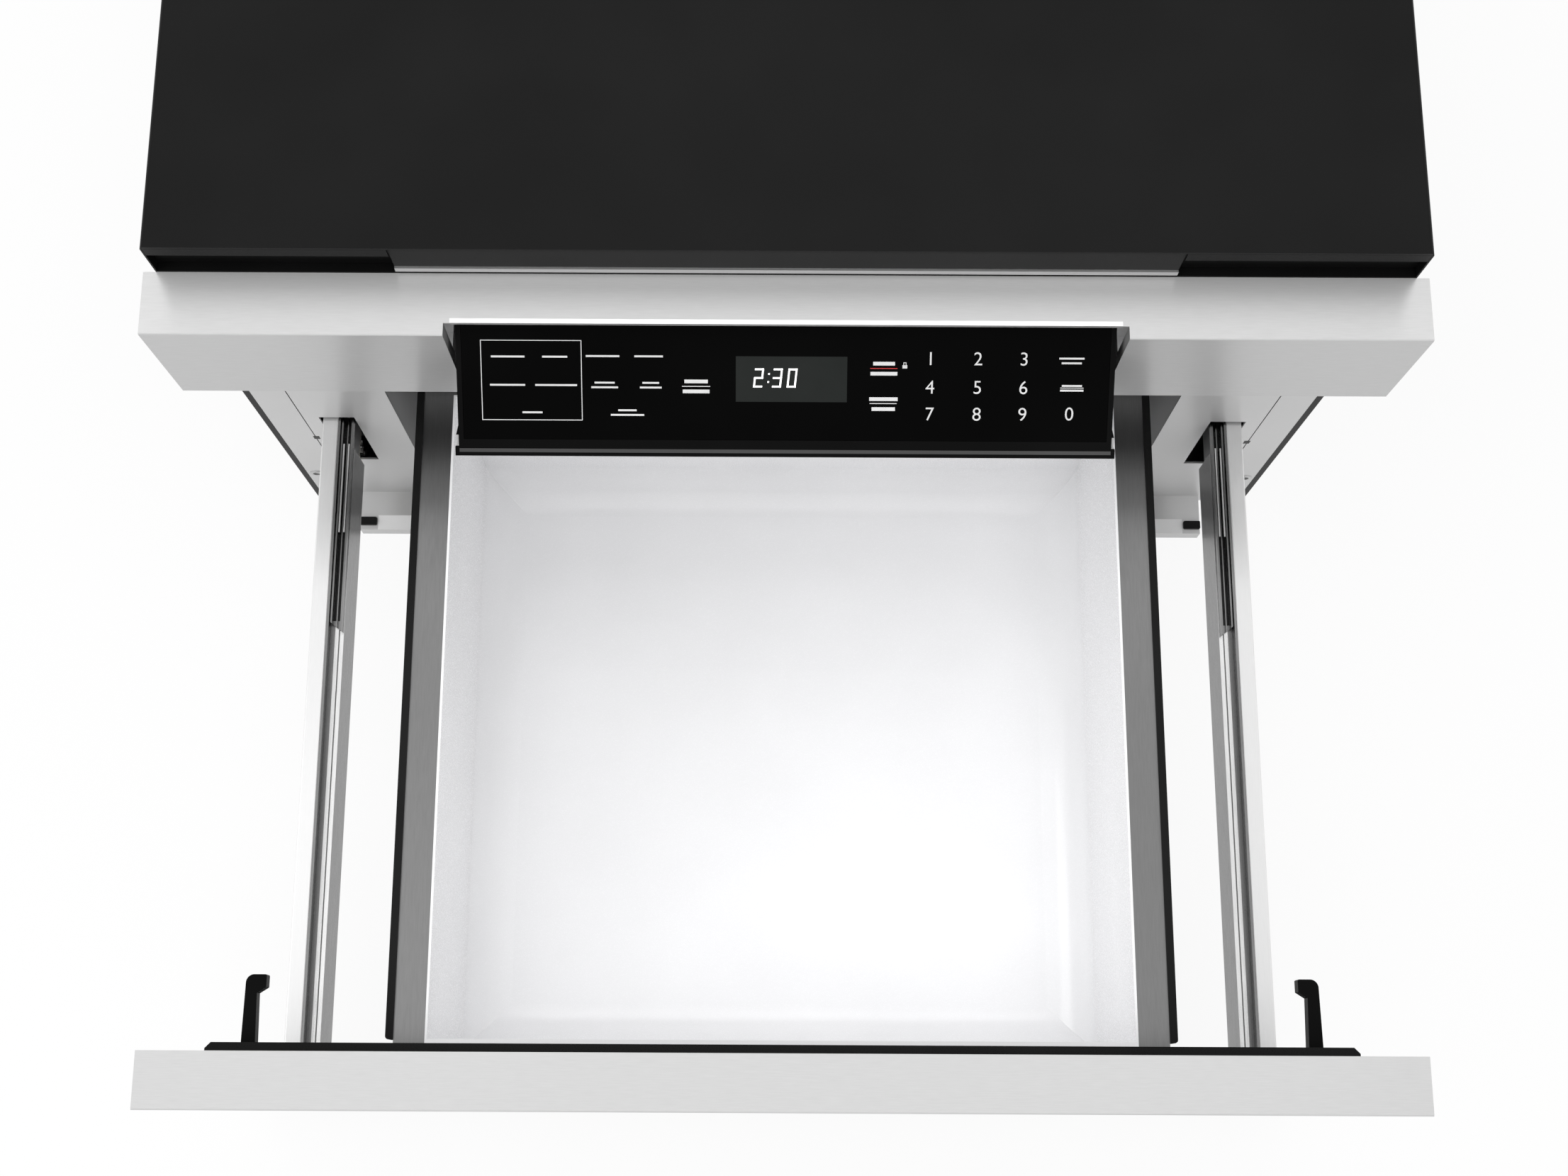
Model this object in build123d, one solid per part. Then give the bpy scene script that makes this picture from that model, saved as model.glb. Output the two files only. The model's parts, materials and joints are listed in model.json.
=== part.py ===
from build123d import *
import math
import os

# Built-in microwave drawer, drawn with the drawer pulled out and the hidden control panel tilted out.
# Millimetres. X runs to the right, Y back into the cabinet, Z up.
# Origin: middle of the base's underside, in the plane of the cabinet's face.

# ---- sheet and clearances ----
SHEET = 1.2            # inner sheet metal
CASE_SHEET = 1.0       # outer wrapper
FRAME_SHEET = 1.5      # front frame
FIT = 0.2              # air round a sheet that drops inside another
RUN = 0.5              # air between parts that slide past each other
CLOSED_GAP = 0.3       # air left behind the shut door
PIN_PLAY = 0.05        # radial play of a pin in its bore

# ---- overall ----
CASE_WIDTH = 744.0
FRONT_OVERHANG = 7.5   # how far the fascia and door stand past the case at each side
REAR_BAY = 126.0       # room behind the cavity for the electrical parts
CASE_TOP = 485.0
CASE_OVER_FASCIA = 35.0  # from the fascia's top to the case's top
CASE_HEM = 4.5         # folded front edge of the wrapper
CASE_HEM_DEPTH = 10.0
CASE_TOP_FOLD = 2.0
CASE_EDGE_RADIUS = 3.0

# ---- fascia round the control panel ----
FASCIA_HEIGHT = 95.8
TRIM_DEPTH = 39.3      # how far the front stands out of the cabinet
TRIM_SHEET = 1.2
TRIM_EDGE_RADIUS = 1.1
TRIM_RETURN = 12.0
NOTCH_HALF = 201.2
NOTCH_BACK = 8.0       # from the fascia's front to the notch's back edge
NOTCH_HEM_HALF = 197.5
NOTCH_HEM_THICK = 1.0
NOTCH_HEM_DEPTH = 6.0
UPPER_SETBACK = 6.0    # dark face above the fascia, behind the case's edge
UPPER_BAND = 9.0       # bead under the case's top edge, beside the vent strip
VENT_EDGE = 142.0      # from the case's side to the vent strip's end
VENT_LIP = 4.0
VENT_SLIT = 2.0        # air gap under the vent strip
VENT_TAB_EDGE = 30.0   # from the strip's end to its outer tab

# ---- door ----
DOOR_REVEAL = 10.5     # from the fascia's lower edge to the door's top
DOOR_BOTTOM = 23.0
DOOR_PLATE = 5.0       # black inner plate that covers the cavity
DOOR_PLATE_EDGE = 39.5  # from the door's side to the inner plate's end
DOOR_PLATE_INSET = 3.7
DOOR_PLATE_CHAMFER = 3.5
CHOKE_INSET = 40.0     # from the inner plate's end to the choke's side
CHOKE_DEPTH = 22.0
CHOKE_WIDTH = 26.0
DOOR_SCREW_EDGE = 19.5
DOOR_SCREW_FOOT = 37.0   # from the door's lower edge to its lowest screws
DOOR_SCREW_DROP = 43.7   # from the door's top to its highest screws
SCREW_RADIUS = 2.0
SCREW_HEAD_RADIUS = 4.0
SCREW_HEAD = 2.0
SCREW_LENGTH = 7.0
DOOR_SCREW_HEAD = 0.8

# ---- drawer ----
TUB_DEPTH = 421.0      # inside
OVERTRAVEL = 18.6      # travel beyond the tub's depth
TUB_AIR = 54.0         # from the tub's inner side to the cavity's side
TUB_HEIGHT = 181.0     # inside
TUB_SHEET = 1.5
TUB_FRONT_WALL = 4.6   # doubled wall against the door
TUB_RADIUS = 30.0
RIM_AIR = 29.2         # from the rim to the cavity's ceiling
RIM_WIDTH = 21.0
RIM_DROP = 12.0
RIM_SHEET = 1.5
GASKET = 4.9
GASKET_HEIGHT = 13.0
GASKET_PROUD = 0.8
GASKET_TIP_GAP = 4.0

# ---- slides and support bars, one pair a side ----
BAR_WIDTH = 11.3
BAR_DROP = 86.8        # from the tub's rim to the bar's top
BAR_HEIGHT = 74.0
BAR_SHEET = 1.5
BAR_EDGE_RADIUS = 1.0
BAR_TAIL = 62.0        # length that stays behind the cabinet's face
RAIL_SHEET = 1.5
RAIL_WIDTH = 10.8
RAIL_HEIGHT = 45.0
RAIL_STEP = 8.6        # from the bar's top to the shelf that the middle member runs on
RAIL_GROOVE = 2.8      # from the shelf's inner edge to its groove
RAIL_GROOVE_WIDTH = 0.6
RAIL_TAIL = -20.0      # where the shelf ends; its outer web goes on
MID_AIR = 0.6          # from the middle member to the shelf's sides
MID_SHEET = 1.2
MID_DROP = 2.0         # from the bar's top to the middle member's top
MID_FRONT = -155.0
MID_OBLIQUE = 7.0      # how much shorter its outer side is in front
MID_RIB = 0.7
MID_RIB_RISE = 2.0
MID_LENGTH = 400.0
FIXED_SHEET = 1.3
FIXED_FLANGE_RISE = 10.8  # from the support bar's top to the fixed rail's flange
FIXED_FRONT = 8.0
FIXED_LENGTH = 500.0

# ---- front frame ----
FRAME_EDGE = 30.0      # from the case's side to the seam of the side strip
STRIP_GAP = 0.8
STRIP_FOLD = 4.0
SLOT_EDGE = 41.0       # from the case's side to the slot
SLOT_WIDTH = 25.4
SLOT_AIR = 2.5         # from the slot's outer edge to the support bar
SLOT_OVER_BAR = 3.5
SLOT_HEIGHT = 96.0
LATCH_HOLE_WIDTH = 22.0
LATCH_HOLE_HALF = 9.0
FIXING_EDGE = 12.0
FIXING_Z_LOW = 60.6
FIXING_Z_HIGH = 320.6
FIXING_RADIUS = 2.5

# ---- sill under the door ----
SILL_EDGE = 38.0
SILL_DEPTH = 31.5
SILL_HEIGHT = 12.0
CAP_WIDTH = 13.0
CAP_FRONT = 28.0
CAP_BACK = 21.6
CAP_HEIGHT = 2.5

# ---- oven cavity behind the frame ----
CAVITY_EDGE = 98.0     # from the case's side to the cavity's side
CAVITY_DROP = 39.7     # from the door's top to the cavity's ceiling
TUB_CLEARANCE = 13.8   # under the tub's floor
CAVITY_AIR = 6.8       # behind the shut drawer
PORT_HALF = 40.0
PORT_Y = 240.0

# ---- latch hooks ----
HOOK_DROP = 33.7       # from the door's top to the hook
HOOK_THICK = 8.0
HOOK_WIDTH = 8.6
HOOK_AIR = 4.6         # from the hook to the outer edge of its hole
HOOK_LENGTH = 41.0
HOOK_TAPER = 0.8
HOOK_ROUND = 5.0
BARB_REACH = 4.6
BARB_LENGTH = 11.0
BARB_SLANT = 3.5
BARB_RADIUS = 1.0

# ---- control panel ----
HINGE_Y = -15.5
HINGE_DROP = 81.4      # from the fascia's top to the hinge
PANEL_OPEN = 52.0      # degrees from shut to tilted out
GLASS_SLOPE = 23.0     # degrees that the glass falls back when shut
FACE_HALF = 198.5
FACE_HEIGHT = 86.0
LIP_REACH = 2.8        # how far the dark lip stands in front of the face
LIP_HEIGHT = 3.0
BEZEL_HALF = 196.3
BEZEL_LENGTH = 88.0    # along the glass, from lip to tail
BEZEL_TAIL = 22.0      # thickness at the tail
BEZEL_WALL = 4.0
GLASS_HALF = 193.0
GLASS_START = 8.1
GLASS_END = 84.0
GLASS_THICK = 2.2
GLASS_SEAT = 3.0       # ledge under the glass
COVER_THICK = 2.0
DISPLAY_LEFT = -29.7
DISPLAY_RIGHT = 36.7
DISPLAY_START = 31.5
DISPLAY_END = 58.8
DISPLAY_THICK = 6.0
BOARD_HALF = 150.0
BOARD_THICK = 1.6
PIN_RADIUS = 3.0
HUB_RADIUS = 5.6
ARM_INNER = 186.5
ARM_THICK = 3.0
BRACKET_INNER = 203.0
BRACKET_THICK = 2.0
BRACKET_MARGIN = 9.0   # round the pin
BRACKET_RISE = 20.0
BRACKET_FOOT = 20.0
ARM_FRONT = 14.0       # the arm's root, before and behind the hinge
ARM_BACK = 26.0
ARM_HUB = 5.0          # the hub's length beyond the arm

# ---- gears ----
PRESSURE_ANGLE = 25.0
ADDENDUM = 0.8         # in modules
DEDENDUM = 1.0         # in modules
BACKLASH = 0.25
RACK_MODULE = 2.0
DRIVE_TEETH = 16
RACK_MARGIN = 20.0     # rack beyond the travel
RACK_DROP = 12.0       # from the bar's lower edge to the rack's pitch line
RACK_RISE = 10.0       # how far the rack reaches up inside the bar
DRIVE_Y = 24.0
DAMPER_MODULE = 1.0
DAMPER_TEETH = 12
SECTOR_TEETH = 48      # teeth of the full circle
SECTOR_FROM = -10.0    # degrees, with the panel tilted out
SECTOR_TO = 62.0
SECTOR_THICK = 4.0
DAMPER_RADIUS = 11.0

# ---- worked out from the sizes above ----
CASE_HALF = CASE_WIDTH / 2
FRONT_HALF = CASE_HALF + FRONT_OVERHANG
INSIDE_HALF = CASE_HALF - CASE_HEM - FIT       # sheets that drop in behind the folded edge
FASCIA_TOP = CASE_TOP - CASE_OVER_FASCIA
FASCIA_BOTTOM = FASCIA_TOP - FASCIA_HEIGHT
DOOR_TOP = FASCIA_BOTTOM - DOOR_REVEAL
DOOR_SCREW_LOW = DOOR_BOTTOM + DOOR_SCREW_FOOT
DOOR_SCREW_HIGH = DOOR_TOP - DOOR_SCREW_DROP
DOOR_SCREW_Z = (DOOR_SCREW_LOW, (DOOR_SCREW_LOW + DOOR_SCREW_HIGH) / 2, DOOR_SCREW_HIGH)
CAVITY_TOP = DOOR_TOP - CAVITY_DROP
RIM_TOP = CAVITY_TOP - RIM_AIR
TUB_FLOOR = RIM_TOP - TUB_HEIGHT
CAVITY_BOTTOM = TUB_FLOOR - TUB_CLEARANCE
BAR_TOP = RIM_TOP - BAR_DROP
BAR_BOTTOM = BAR_TOP - BAR_HEIGHT
RAIL_BOTTOM = BAR_TOP - RAIL_HEIGHT
SHELF_TOP = BAR_TOP - RAIL_STEP
MID_FLOOR = SHELF_TOP + RUN
MID_TOP = BAR_TOP - MID_DROP
SLOT_TOP = BAR_TOP + SLOT_OVER_BAR
SLOT_BOTTOM = SLOT_TOP - SLOT_HEIGHT
RACK_PITCH_Z = BAR_BOTTOM - RACK_DROP
RACK_TOP = BAR_BOTTOM + RACK_RISE
HOOK_Z = DOOR_TOP - HOOK_DROP
HINGE_Z = FASCIA_TOP - HINGE_DROP
FRAME_HALF = CASE_HALF - FRAME_EDGE
VENT_HALF = CASE_HALF - VENT_EDGE
VENT_TABS = (VENT_TAB_EDGE - VENT_HALF, 0.0, VENT_HALF - VENT_TAB_EDGE)
FIXING_X = CASE_HALF - FIXING_EDGE
SLOT_OUTER = CASE_HALF - SLOT_EDGE
SLOT_INNER = SLOT_OUTER - SLOT_WIDTH
BAR_OUTER = SLOT_OUTER - SLOT_AIR
BAR_INNER = BAR_OUTER - BAR_WIDTH
RAIL_INNER = BAR_INNER - RAIL_WIDTH
MID_OUTER = BAR_INNER - RAIL_SHEET - MID_AIR
MID_INNER = RAIL_INNER + MID_AIR
FIXED_FLANGE_Z = BAR_TOP + FIXED_FLANGE_RISE
LATCH_HOLE_OUTER = SLOT_OUTER - 1.0
LATCH_HOLE_INNER = LATCH_HOLE_OUTER - LATCH_HOLE_WIDTH
HOOK_OUTER = LATCH_HOLE_OUTER - HOOK_AIR
HOOK_INNER = HOOK_OUTER - HOOK_WIDTH
BARB_INNER = HOOK_INNER - BARB_REACH
SILL_HALF = CASE_HALF - SILL_EDGE
CAP_INNER = SILL_HALF - CAP_WIDTH
CAVITY_HALF = CASE_HALF - CAVITY_EDGE
TUB_HALF = CAVITY_HALF - TUB_AIR               # inside
DOOR_PLATE_HALF = FRONT_HALF - DOOR_PLATE_EDGE
DOOR_SCREW_X = FRONT_HALF - DOOR_SCREW_EDGE
CHOKE_HALF = DOOR_PLATE_HALF - CHOKE_INSET
TRAVEL = TUB_DEPTH + OVERTRAVEL
PLATE_REAR = -(TRAVEL + CLOSED_GAP)            # rear face of the door's inner plate
PLATE_FRONT = PLATE_REAR - DOOR_PLATE
DOOR_FRONT = -(TRIM_DEPTH + TRAVEL)
TUB_FRONT = PLATE_REAR
TUB_INNER_FRONT = TUB_FRONT + TUB_FRONT_WALL
TUB_INNER_REAR = TUB_INNER_FRONT + TUB_DEPTH
TUB_REAR = TUB_INNER_REAR + TUB_SHEET
RIM_UNDERSIDE = RIM_TOP - RIM_SHEET
CAVITY_BACK = TUB_INNER_REAR + RIM_WIDTH + GASKET + TRAVEL + CAVITY_AIR
CASE_DEPTH = CAVITY_BACK + REAR_BAY
RACK_TEETH = int((TRAVEL + RACK_MARGIN) / (math.pi * RACK_MODULE))


def box(x0, x1, y0, y1, z0, z1):
    """A block between two corners."""
    size = Box(x1 - x0, y1 - y0, z1 - z0)
    return Pos((x0 + x1) / 2, (y0 + y1) / 2, (z0 + z1) / 2) * size


def rod_x(radius, x0, x1, y, z):
    """A round bar along X."""
    return Pos((x0 + x1) / 2, y, z) * Rot(0, 90, 0) * Cylinder(radius, abs(x1 - x0))


def rod_y(radius, y0, y1, x, z):
    """A round bar along Y."""
    return Pos(x, (y0 + y1) / 2, z) * Rot(90, 0, 0) * Cylinder(radius, abs(y1 - y0))


def rod_z(radius, z0, z1, x, y):
    """A round bar along Z."""
    return Pos(x, y, (z0 + z1) / 2) * Cylinder(radius, abs(z1 - z0))


def prism_x(points, x0, x1):
    """A flat outline in Y and Z, drawn out along X from x0 to x1."""
    face = make_face(Polyline(*[(x0, y, z) for y, z in points], close=True))
    return extrude(face, amount=x1 - x0, dir=(1, 0, 0))


def prism_z(points, z0, z1):
    """A flat outline in X and Y, drawn out along Z from z0 to z1."""
    face = make_face(Polyline(*[(x, y, z0) for x, y in points], close=True))
    return extrude(face, amount=z1 - z0, dir=(0, 0, 1))


def mirrored(shape):
    """The same piece on the other side of the middle plane."""
    return mirror(shape, about=Plane.YZ)


def save(name, shape):
    """Write one sub-part."""
    export_step(shape, "parts/" + name + ".step")


def group(name, shapes):
    """Write a set of like pieces as separate solids in one sub-part."""
    save(name, Compound(children=[s if isinstance(s, Solid) else s.solids()[0] for s in shapes]))


# ---------------------------------------------------------------- case

def outer_case():
    """Wrapper of one bent sheet: two sides and a top, with a folded front edge."""
    skin = box(-CASE_HALF, CASE_HALF, 0, CASE_DEPTH, 0, CASE_TOP)
    long_edges = skin.edges().filter_by(Axis.Y).group_by(Axis.Z)[-1]
    skin = fillet(long_edges, CASE_EDGE_RADIUS)
    inner = CASE_HALF - CASE_SHEET
    roof = CASE_TOP - CASE_SHEET
    skin -= box(-inner, inner, -1, CASE_DEPTH + 1, -1, roof)
    lip = CASE_HALF - CASE_HEM
    for side in (-1, 1):
        low, high = sorted((side * lip, side * inner))
        skin += box(low, high, 0, CASE_HEM_DEPTH, 0, FASCIA_TOP)
        for y in CASE_SCREW_Y:
            skin -= rod_x(SCREW_RADIUS + FIT, side * (inner - 5), side * (inner + 5), y, CASE_SCREW_Z)
    return skin + box(-inner, inner, 0, CASE_HEM_DEPTH, CASE_TOP - CASE_TOP_FOLD, roof)


GRILLE_X = 150.0       # middle of the fan's grille on the rear panel
GRILLE_Z = 250.0
GRILLE_RADIUS = 52.0
GRILLE_SLOT = 4.0
GRILLE_PITCH = 10.0
GLAND_X = -(CASE_HALF - 72.0)
GLAND_Z = 60.0
GLAND_RADIUS = 9.0


def rear_panel():
    """Back sheet with the fan's slotted grille and the hole of the cord gland."""
    top = CASE_TOP - CASE_SHEET - FIT
    half = CASE_HALF - CASE_SHEET - FIT
    panel = box(-half, half, CASE_DEPTH - SHEET, CASE_DEPTH, SHEET + FIT, top)
    rows = int(GRILLE_RADIUS / GRILLE_PITCH)
    for row in range(-rows, rows + 1):
        z = row * GRILLE_PITCH
        half_slot = math.sqrt(GRILLE_RADIUS ** 2 - z ** 2) * 0.95
        panel -= box(GRILLE_X - half_slot, GRILLE_X + half_slot, CASE_DEPTH - 5, CASE_DEPTH + 5,
                     GRILLE_Z + z - GRILLE_SLOT / 2, GRILLE_Z + z + GRILLE_SLOT / 2)
    panel -= rod_y(GLAND_RADIUS, CASE_DEPTH - 5, CASE_DEPTH + 5, GLAND_X, GLAND_Z)
    return panel


GLAND_FLANGE = 3.0


def cord_gland():
    """Bush in the rear panel that the supply lead passes through."""
    back = CASE_DEPTH - SHEET
    body = rod_y(GLAND_RADIUS - FIT, back, CASE_DEPTH, GLAND_X, GLAND_Z)
    body += rod_y(GLAND_RADIUS + GLAND_FLANGE, back - GLAND_FLANGE, back, GLAND_X, GLAND_Z)
    body -= rod_y(GLAND_RADIUS / 2, back - 10, CASE_DEPTH + 10, GLAND_X, GLAND_Z)
    return body


PAN_FLANGE = 16.0
CASE_SCREW_END = 50.0   # from the case's front and back to its screws
CASE_SCREW_Y = (CASE_SCREW_END, CASE_DEPTH / 2, CASE_DEPTH - CASE_SCREW_END)
CASE_SCREW_Z = PAN_FLANGE / 2


def base_pan():
    """Floor sheet with upturned sides."""
    front = CASE_HEM_DEPTH + FIT
    back = CASE_DEPTH - SHEET - FIT
    outer = CASE_HALF - CASE_SHEET - FIT
    pan = box(-INSIDE_HALF, INSIDE_HALF, 0, front, 0, SHEET)
    pan += box(-outer, outer, front, back, 0, SHEET)
    for side in (-1, 1):
        low, high = sorted((side * (outer - SHEET), side * outer))
        pan += box(low, high, front, back, 0, PAN_FLANGE)
        for y in CASE_SCREW_Y:
            pan -= rod_x(SCREW_RADIUS + FIT, side * (outer - 5), side * (outer + 5), y, CASE_SCREW_Z)
    return pan


def base_sill():
    """Folded sill that stands forward under the door."""
    sill = box(-SILL_HALF, SILL_HALF, -SILL_DEPTH, 0, 0, SHEET)
    sill += box(-SILL_HALF, SILL_HALF, -SILL_DEPTH, -SILL_DEPTH + SHEET, 0, SILL_HEIGHT)
    sill += box(-SILL_HALF, SILL_HALF, -SILL_DEPTH, 0, SILL_HEIGHT - SHEET, SILL_HEIGHT)
    return sill


def sill_end_caps():
    """Two rubber bumpers on the ends of the sill."""
    cap = box(CAP_INNER, SILL_HALF, -CAP_FRONT, -CAP_BACK, SILL_HEIGHT, SILL_HEIGHT + CAP_HEIGHT)
    cap = fillet(cap.edges().filter_by(Axis.Z), 1.0)
    return [cap, mirrored(cap)]


# ---------------------------------------------------------------- front frame and fascia

RECESS_HALF = 206.0
RECESS_FLOOR = FASCIA_BOTTOM - SHEET
RECESS_BACK = 62.0
RECESS_TOP_RAIL = 4.0


SECTOR_SWING = SECTOR_TEETH * DAMPER_MODULE / 2 + ADDENDUM * DAMPER_MODULE + RUN


def sector_slot():
    """Room that the toothed sector of the control panel swings through."""
    return rod_x(SECTOR_SWING, ARM_INNER - SECTOR_THICK - RUN, ARM_INNER + RUN, HINGE_Y, HINGE_Z)


def front_frame():
    """Plate behind the door, open for the cavity, the slides, the latches and the control panel."""
    plate = box(-FRAME_HALF, FRAME_HALF, 0, FRAME_SHEET, SHEET, FASCIA_TOP)
    plate -= box(-CAVITY_HALF, CAVITY_HALF, -5, 5, CAVITY_BOTTOM, CAVITY_TOP)
    plate -= box(-RECESS_HALF, RECESS_HALF, -5, 5, RECESS_FLOOR, FASCIA_TOP - RECESS_TOP_RAIL)
    for side in (-1, 1):
        low, high = sorted((side * SLOT_INNER, side * SLOT_OUTER))
        plate -= box(low, high, -5, 5, SLOT_BOTTOM, SLOT_TOP)
        low, high = sorted((side * LATCH_HOLE_INNER, side * LATCH_HOLE_OUTER))
        plate -= box(low, high, -5, 5, HOOK_Z - LATCH_HOLE_HALF, HOOK_Z + LATCH_HOLE_HALF)
    return plate - sector_slot()


def frame_side_strips():
    """Outer strips of the frame, each with two holes for the screws into the cabinet."""
    strip = box(FRAME_HALF + STRIP_GAP, INSIDE_HALF, 0, FRAME_SHEET, SHEET, FASCIA_TOP)
    for z in (FIXING_Z_LOW, FIXING_Z_HIGH):
        strip -= rod_y(FIXING_RADIUS, -5, 5, FIXING_X, z)
    strip += box(FRAME_HALF + STRIP_GAP, FRAME_HALF + STRIP_GAP + SHEET, 0, STRIP_FOLD,
                 SHEET, FASCIA_TOP)
    return [strip, mirrored(strip)]


def fascia_trim():
    """Bent trim across the top of the front, notched for the control panel."""
    front = -TRIM_DEPTH
    trim = box(-FRONT_HALF, FRONT_HALF, front, 0, FASCIA_BOTTOM, FASCIA_TOP)
    trim = fillet(trim.edges().filter_by(Axis.X).group_by(Axis.Z)[-1].sort_by(Axis.Y)[0], TRIM_EDGE_RADIUS)
    inner = FRONT_HALF - TRIM_SHEET
    trim -= box(-inner, inner, front + TRIM_SHEET, 1, FASCIA_BOTTOM + TRIM_SHEET, FASCIA_TOP - TRIM_SHEET)
    trim -= box(-inner, inner, front + TRIM_RETURN, 1, FASCIA_BOTTOM - 1, FASCIA_BOTTOM + 5)
    trim -= box(-NOTCH_HALF, NOTCH_HALF, front - 1, front + NOTCH_BACK, FASCIA_BOTTOM - 1, FASCIA_TOP + 1)
    trim -= box(-NOTCH_HALF, NOTCH_HALF, front - 1, 1, FASCIA_BOTTOM - 1, FASCIA_TOP - TRIM_SHEET)
    for side in (-1, 1):
        low, high = sorted((side * NOTCH_HALF, side * (NOTCH_HALF + TRIM_SHEET)))
        trim += box(low, high, front + TRIM_EDGE_RADIUS, front + NOTCH_BACK, FASCIA_BOTTOM,
                    FASCIA_TOP - TRIM_SHEET / 2)
    hem = box(-NOTCH_HEM_HALF, NOTCH_HEM_HALF, front + NOTCH_BACK, front + NOTCH_BACK + NOTCH_HEM_DEPTH,
              FASCIA_TOP - TRIM_SHEET - NOTCH_HEM_THICK, FASCIA_TOP - TRIM_SHEET / 2)
    return trim + hem


DUCT_HALF = 120.0
DUCT_LENGTH = 150.0
DUCT_HEIGHT = 26.0
DUCT_SILL = 6.0
DUCT_TOP = CASE_TOP - CASE_HEM - FIT


def upper_closure():
    """Dark sheet set back under the case's top edge, above the fascia."""
    half = CASE_HALF - CASE_SHEET - FIT
    top = CASE_TOP - CASE_TOP_FOLD - FIT
    sheet = box(-half, half, UPPER_SETBACK, UPPER_SETBACK + SHEET, FASCIA_TOP, top)
    sheet += box(-half, half, 0, UPPER_SETBACK + SHEET, FASCIA_TOP, FASCIA_TOP + SHEET)
    for side in (-1, 1):
        low, high = sorted((side * (VENT_HALF + RUN), side * half))
        sheet += box(low, high, 0, UPPER_SETBACK, top - SHEET, top)
        sheet += box(low, high, 0, SHEET, top - UPPER_BAND, top)
    return sheet - box(-DUCT_HALF + SHEET, DUCT_HALF - SHEET, 0, UPPER_SETBACK + SHEET + 1,
                       FASCIA_TOP + DUCT_SILL, DUCT_TOP - SHEET)


def vent_strip():
    """Folded strip in front of the air duct, with a bright lower lip."""
    top = CASE_TOP - CASE_TOP_FOLD - FIT
    foot = FASCIA_TOP + SHEET
    low = foot + VENT_SLIT
    strip = box(-VENT_HALF, VENT_HALF, SHEET, 2 * SHEET, low, top)
    strip += box(-VENT_HALF, VENT_HALF, 0, SHEET, low, low + VENT_LIP)
    strip += box(-VENT_HALF, VENT_HALF, SHEET, UPPER_SETBACK, top - SHEET, top)
    for x in VENT_TABS:
        strip += box(x - VENT_LIP, x + VENT_LIP, SHEET, 2 * SHEET, foot, low)
    return strip


def air_duct():
    """Flat duct under the case's top that leads the cooling air to the front."""
    front = UPPER_SETBACK + SHEET
    duct = box(-DUCT_HALF, DUCT_HALF, front, front + DUCT_LENGTH, DUCT_TOP - DUCT_HEIGHT, DUCT_TOP)
    duct -= box(-DUCT_HALF + SHEET, DUCT_HALF - SHEET, front - 1, front + DUCT_LENGTH + 1,
                DUCT_TOP - DUCT_HEIGHT + SHEET, DUCT_TOP - SHEET)
    return duct


def control_recess():
    """Pan behind the front that the control panel tips back into."""
    front = FRAME_SHEET
    outer = RECESS_HALF + SHEET
    top = DUCT_TOP - DUCT_HEIGHT
    pan = box(-outer, outer, front, RECESS_BACK + SHEET, RECESS_FLOOR - SHEET, top)
    pan -= box(-RECESS_HALF, RECESS_HALF, front - 1, RECESS_BACK, RECESS_FLOOR, top + 1)
    pan -= box(-outer - 1, outer + 1, 0, UPPER_SETBACK + SHEET, FASCIA_TOP - FIT, top + 1)
    return pan - sector_slot()


def panel_hinge_brackets():
    """Angle brackets on the frame, each with the pin that an arm of the panel turns on."""
    outer = BRACKET_INNER + BRACKET_THICK
    low = HINGE_Z - BRACKET_MARGIN
    high = HINGE_Z + BRACKET_RISE
    web = box(BRACKET_INNER, outer, HINGE_Y - BRACKET_MARGIN, 0, low, high)
    foot = box(outer, outer + BRACKET_FOOT, -BRACKET_THICK, 0, low, high)
    pin = rod_x(PIN_RADIUS, ARM_INNER - SECTOR_THICK - 1, BRACKET_INNER + BRACKET_THICK, HINGE_Y, HINGE_Z)
    bracket = web + foot + pin
    return [bracket, mirrored(bracket)]


# ---------------------------------------------------------------- cavity and what feeds it

LAMP_Y = 330.0
LAMP_Z = CAVITY_TOP - 54.0
LAMP_HOLE = 14.0
COVER_HALF = 105.0
COVER_FRONT = 135.0
COVER_BACK = 345.0
COVER_DROP = 11.0
SHAFT_RADIUS = 2.5
SHAFT_HOLE = 5.0
GUIDE_HALF = 45.0
GUIDE_FRONT = 190.0
GUIDE_BACK = 420.0
GUIDE_HEIGHT = 40.0
MAGNETRON_Y = 375.0
ANTENNA_RADIUS = 8.0
ANTENNA_HOLE = 12.0
ANTENNA_LENGTH = 26.0


def cavity_shell():
    """Oven box that the tub slides into, open to the front, with ports for the feed and the lamp."""
    outer = CAVITY_HALF + SHEET
    shell = box(-outer, outer, FRAME_SHEET, CAVITY_BACK + SHEET, CAVITY_BOTTOM - SHEET, CAVITY_TOP + SHEET)
    shell -= box(-CAVITY_HALF, CAVITY_HALF, 0, CAVITY_BACK, CAVITY_BOTTOM, CAVITY_TOP)
    shell -= box(-PORT_HALF, PORT_HALF, PORT_Y - PORT_HALF, PORT_Y + PORT_HALF,
                 CAVITY_TOP - 5, CAVITY_TOP + 5)
    shell -= rod_x(LAMP_HOLE, CAVITY_HALF - 5, CAVITY_HALF + 5, LAMP_Y, LAMP_Z)
    return shell


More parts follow.
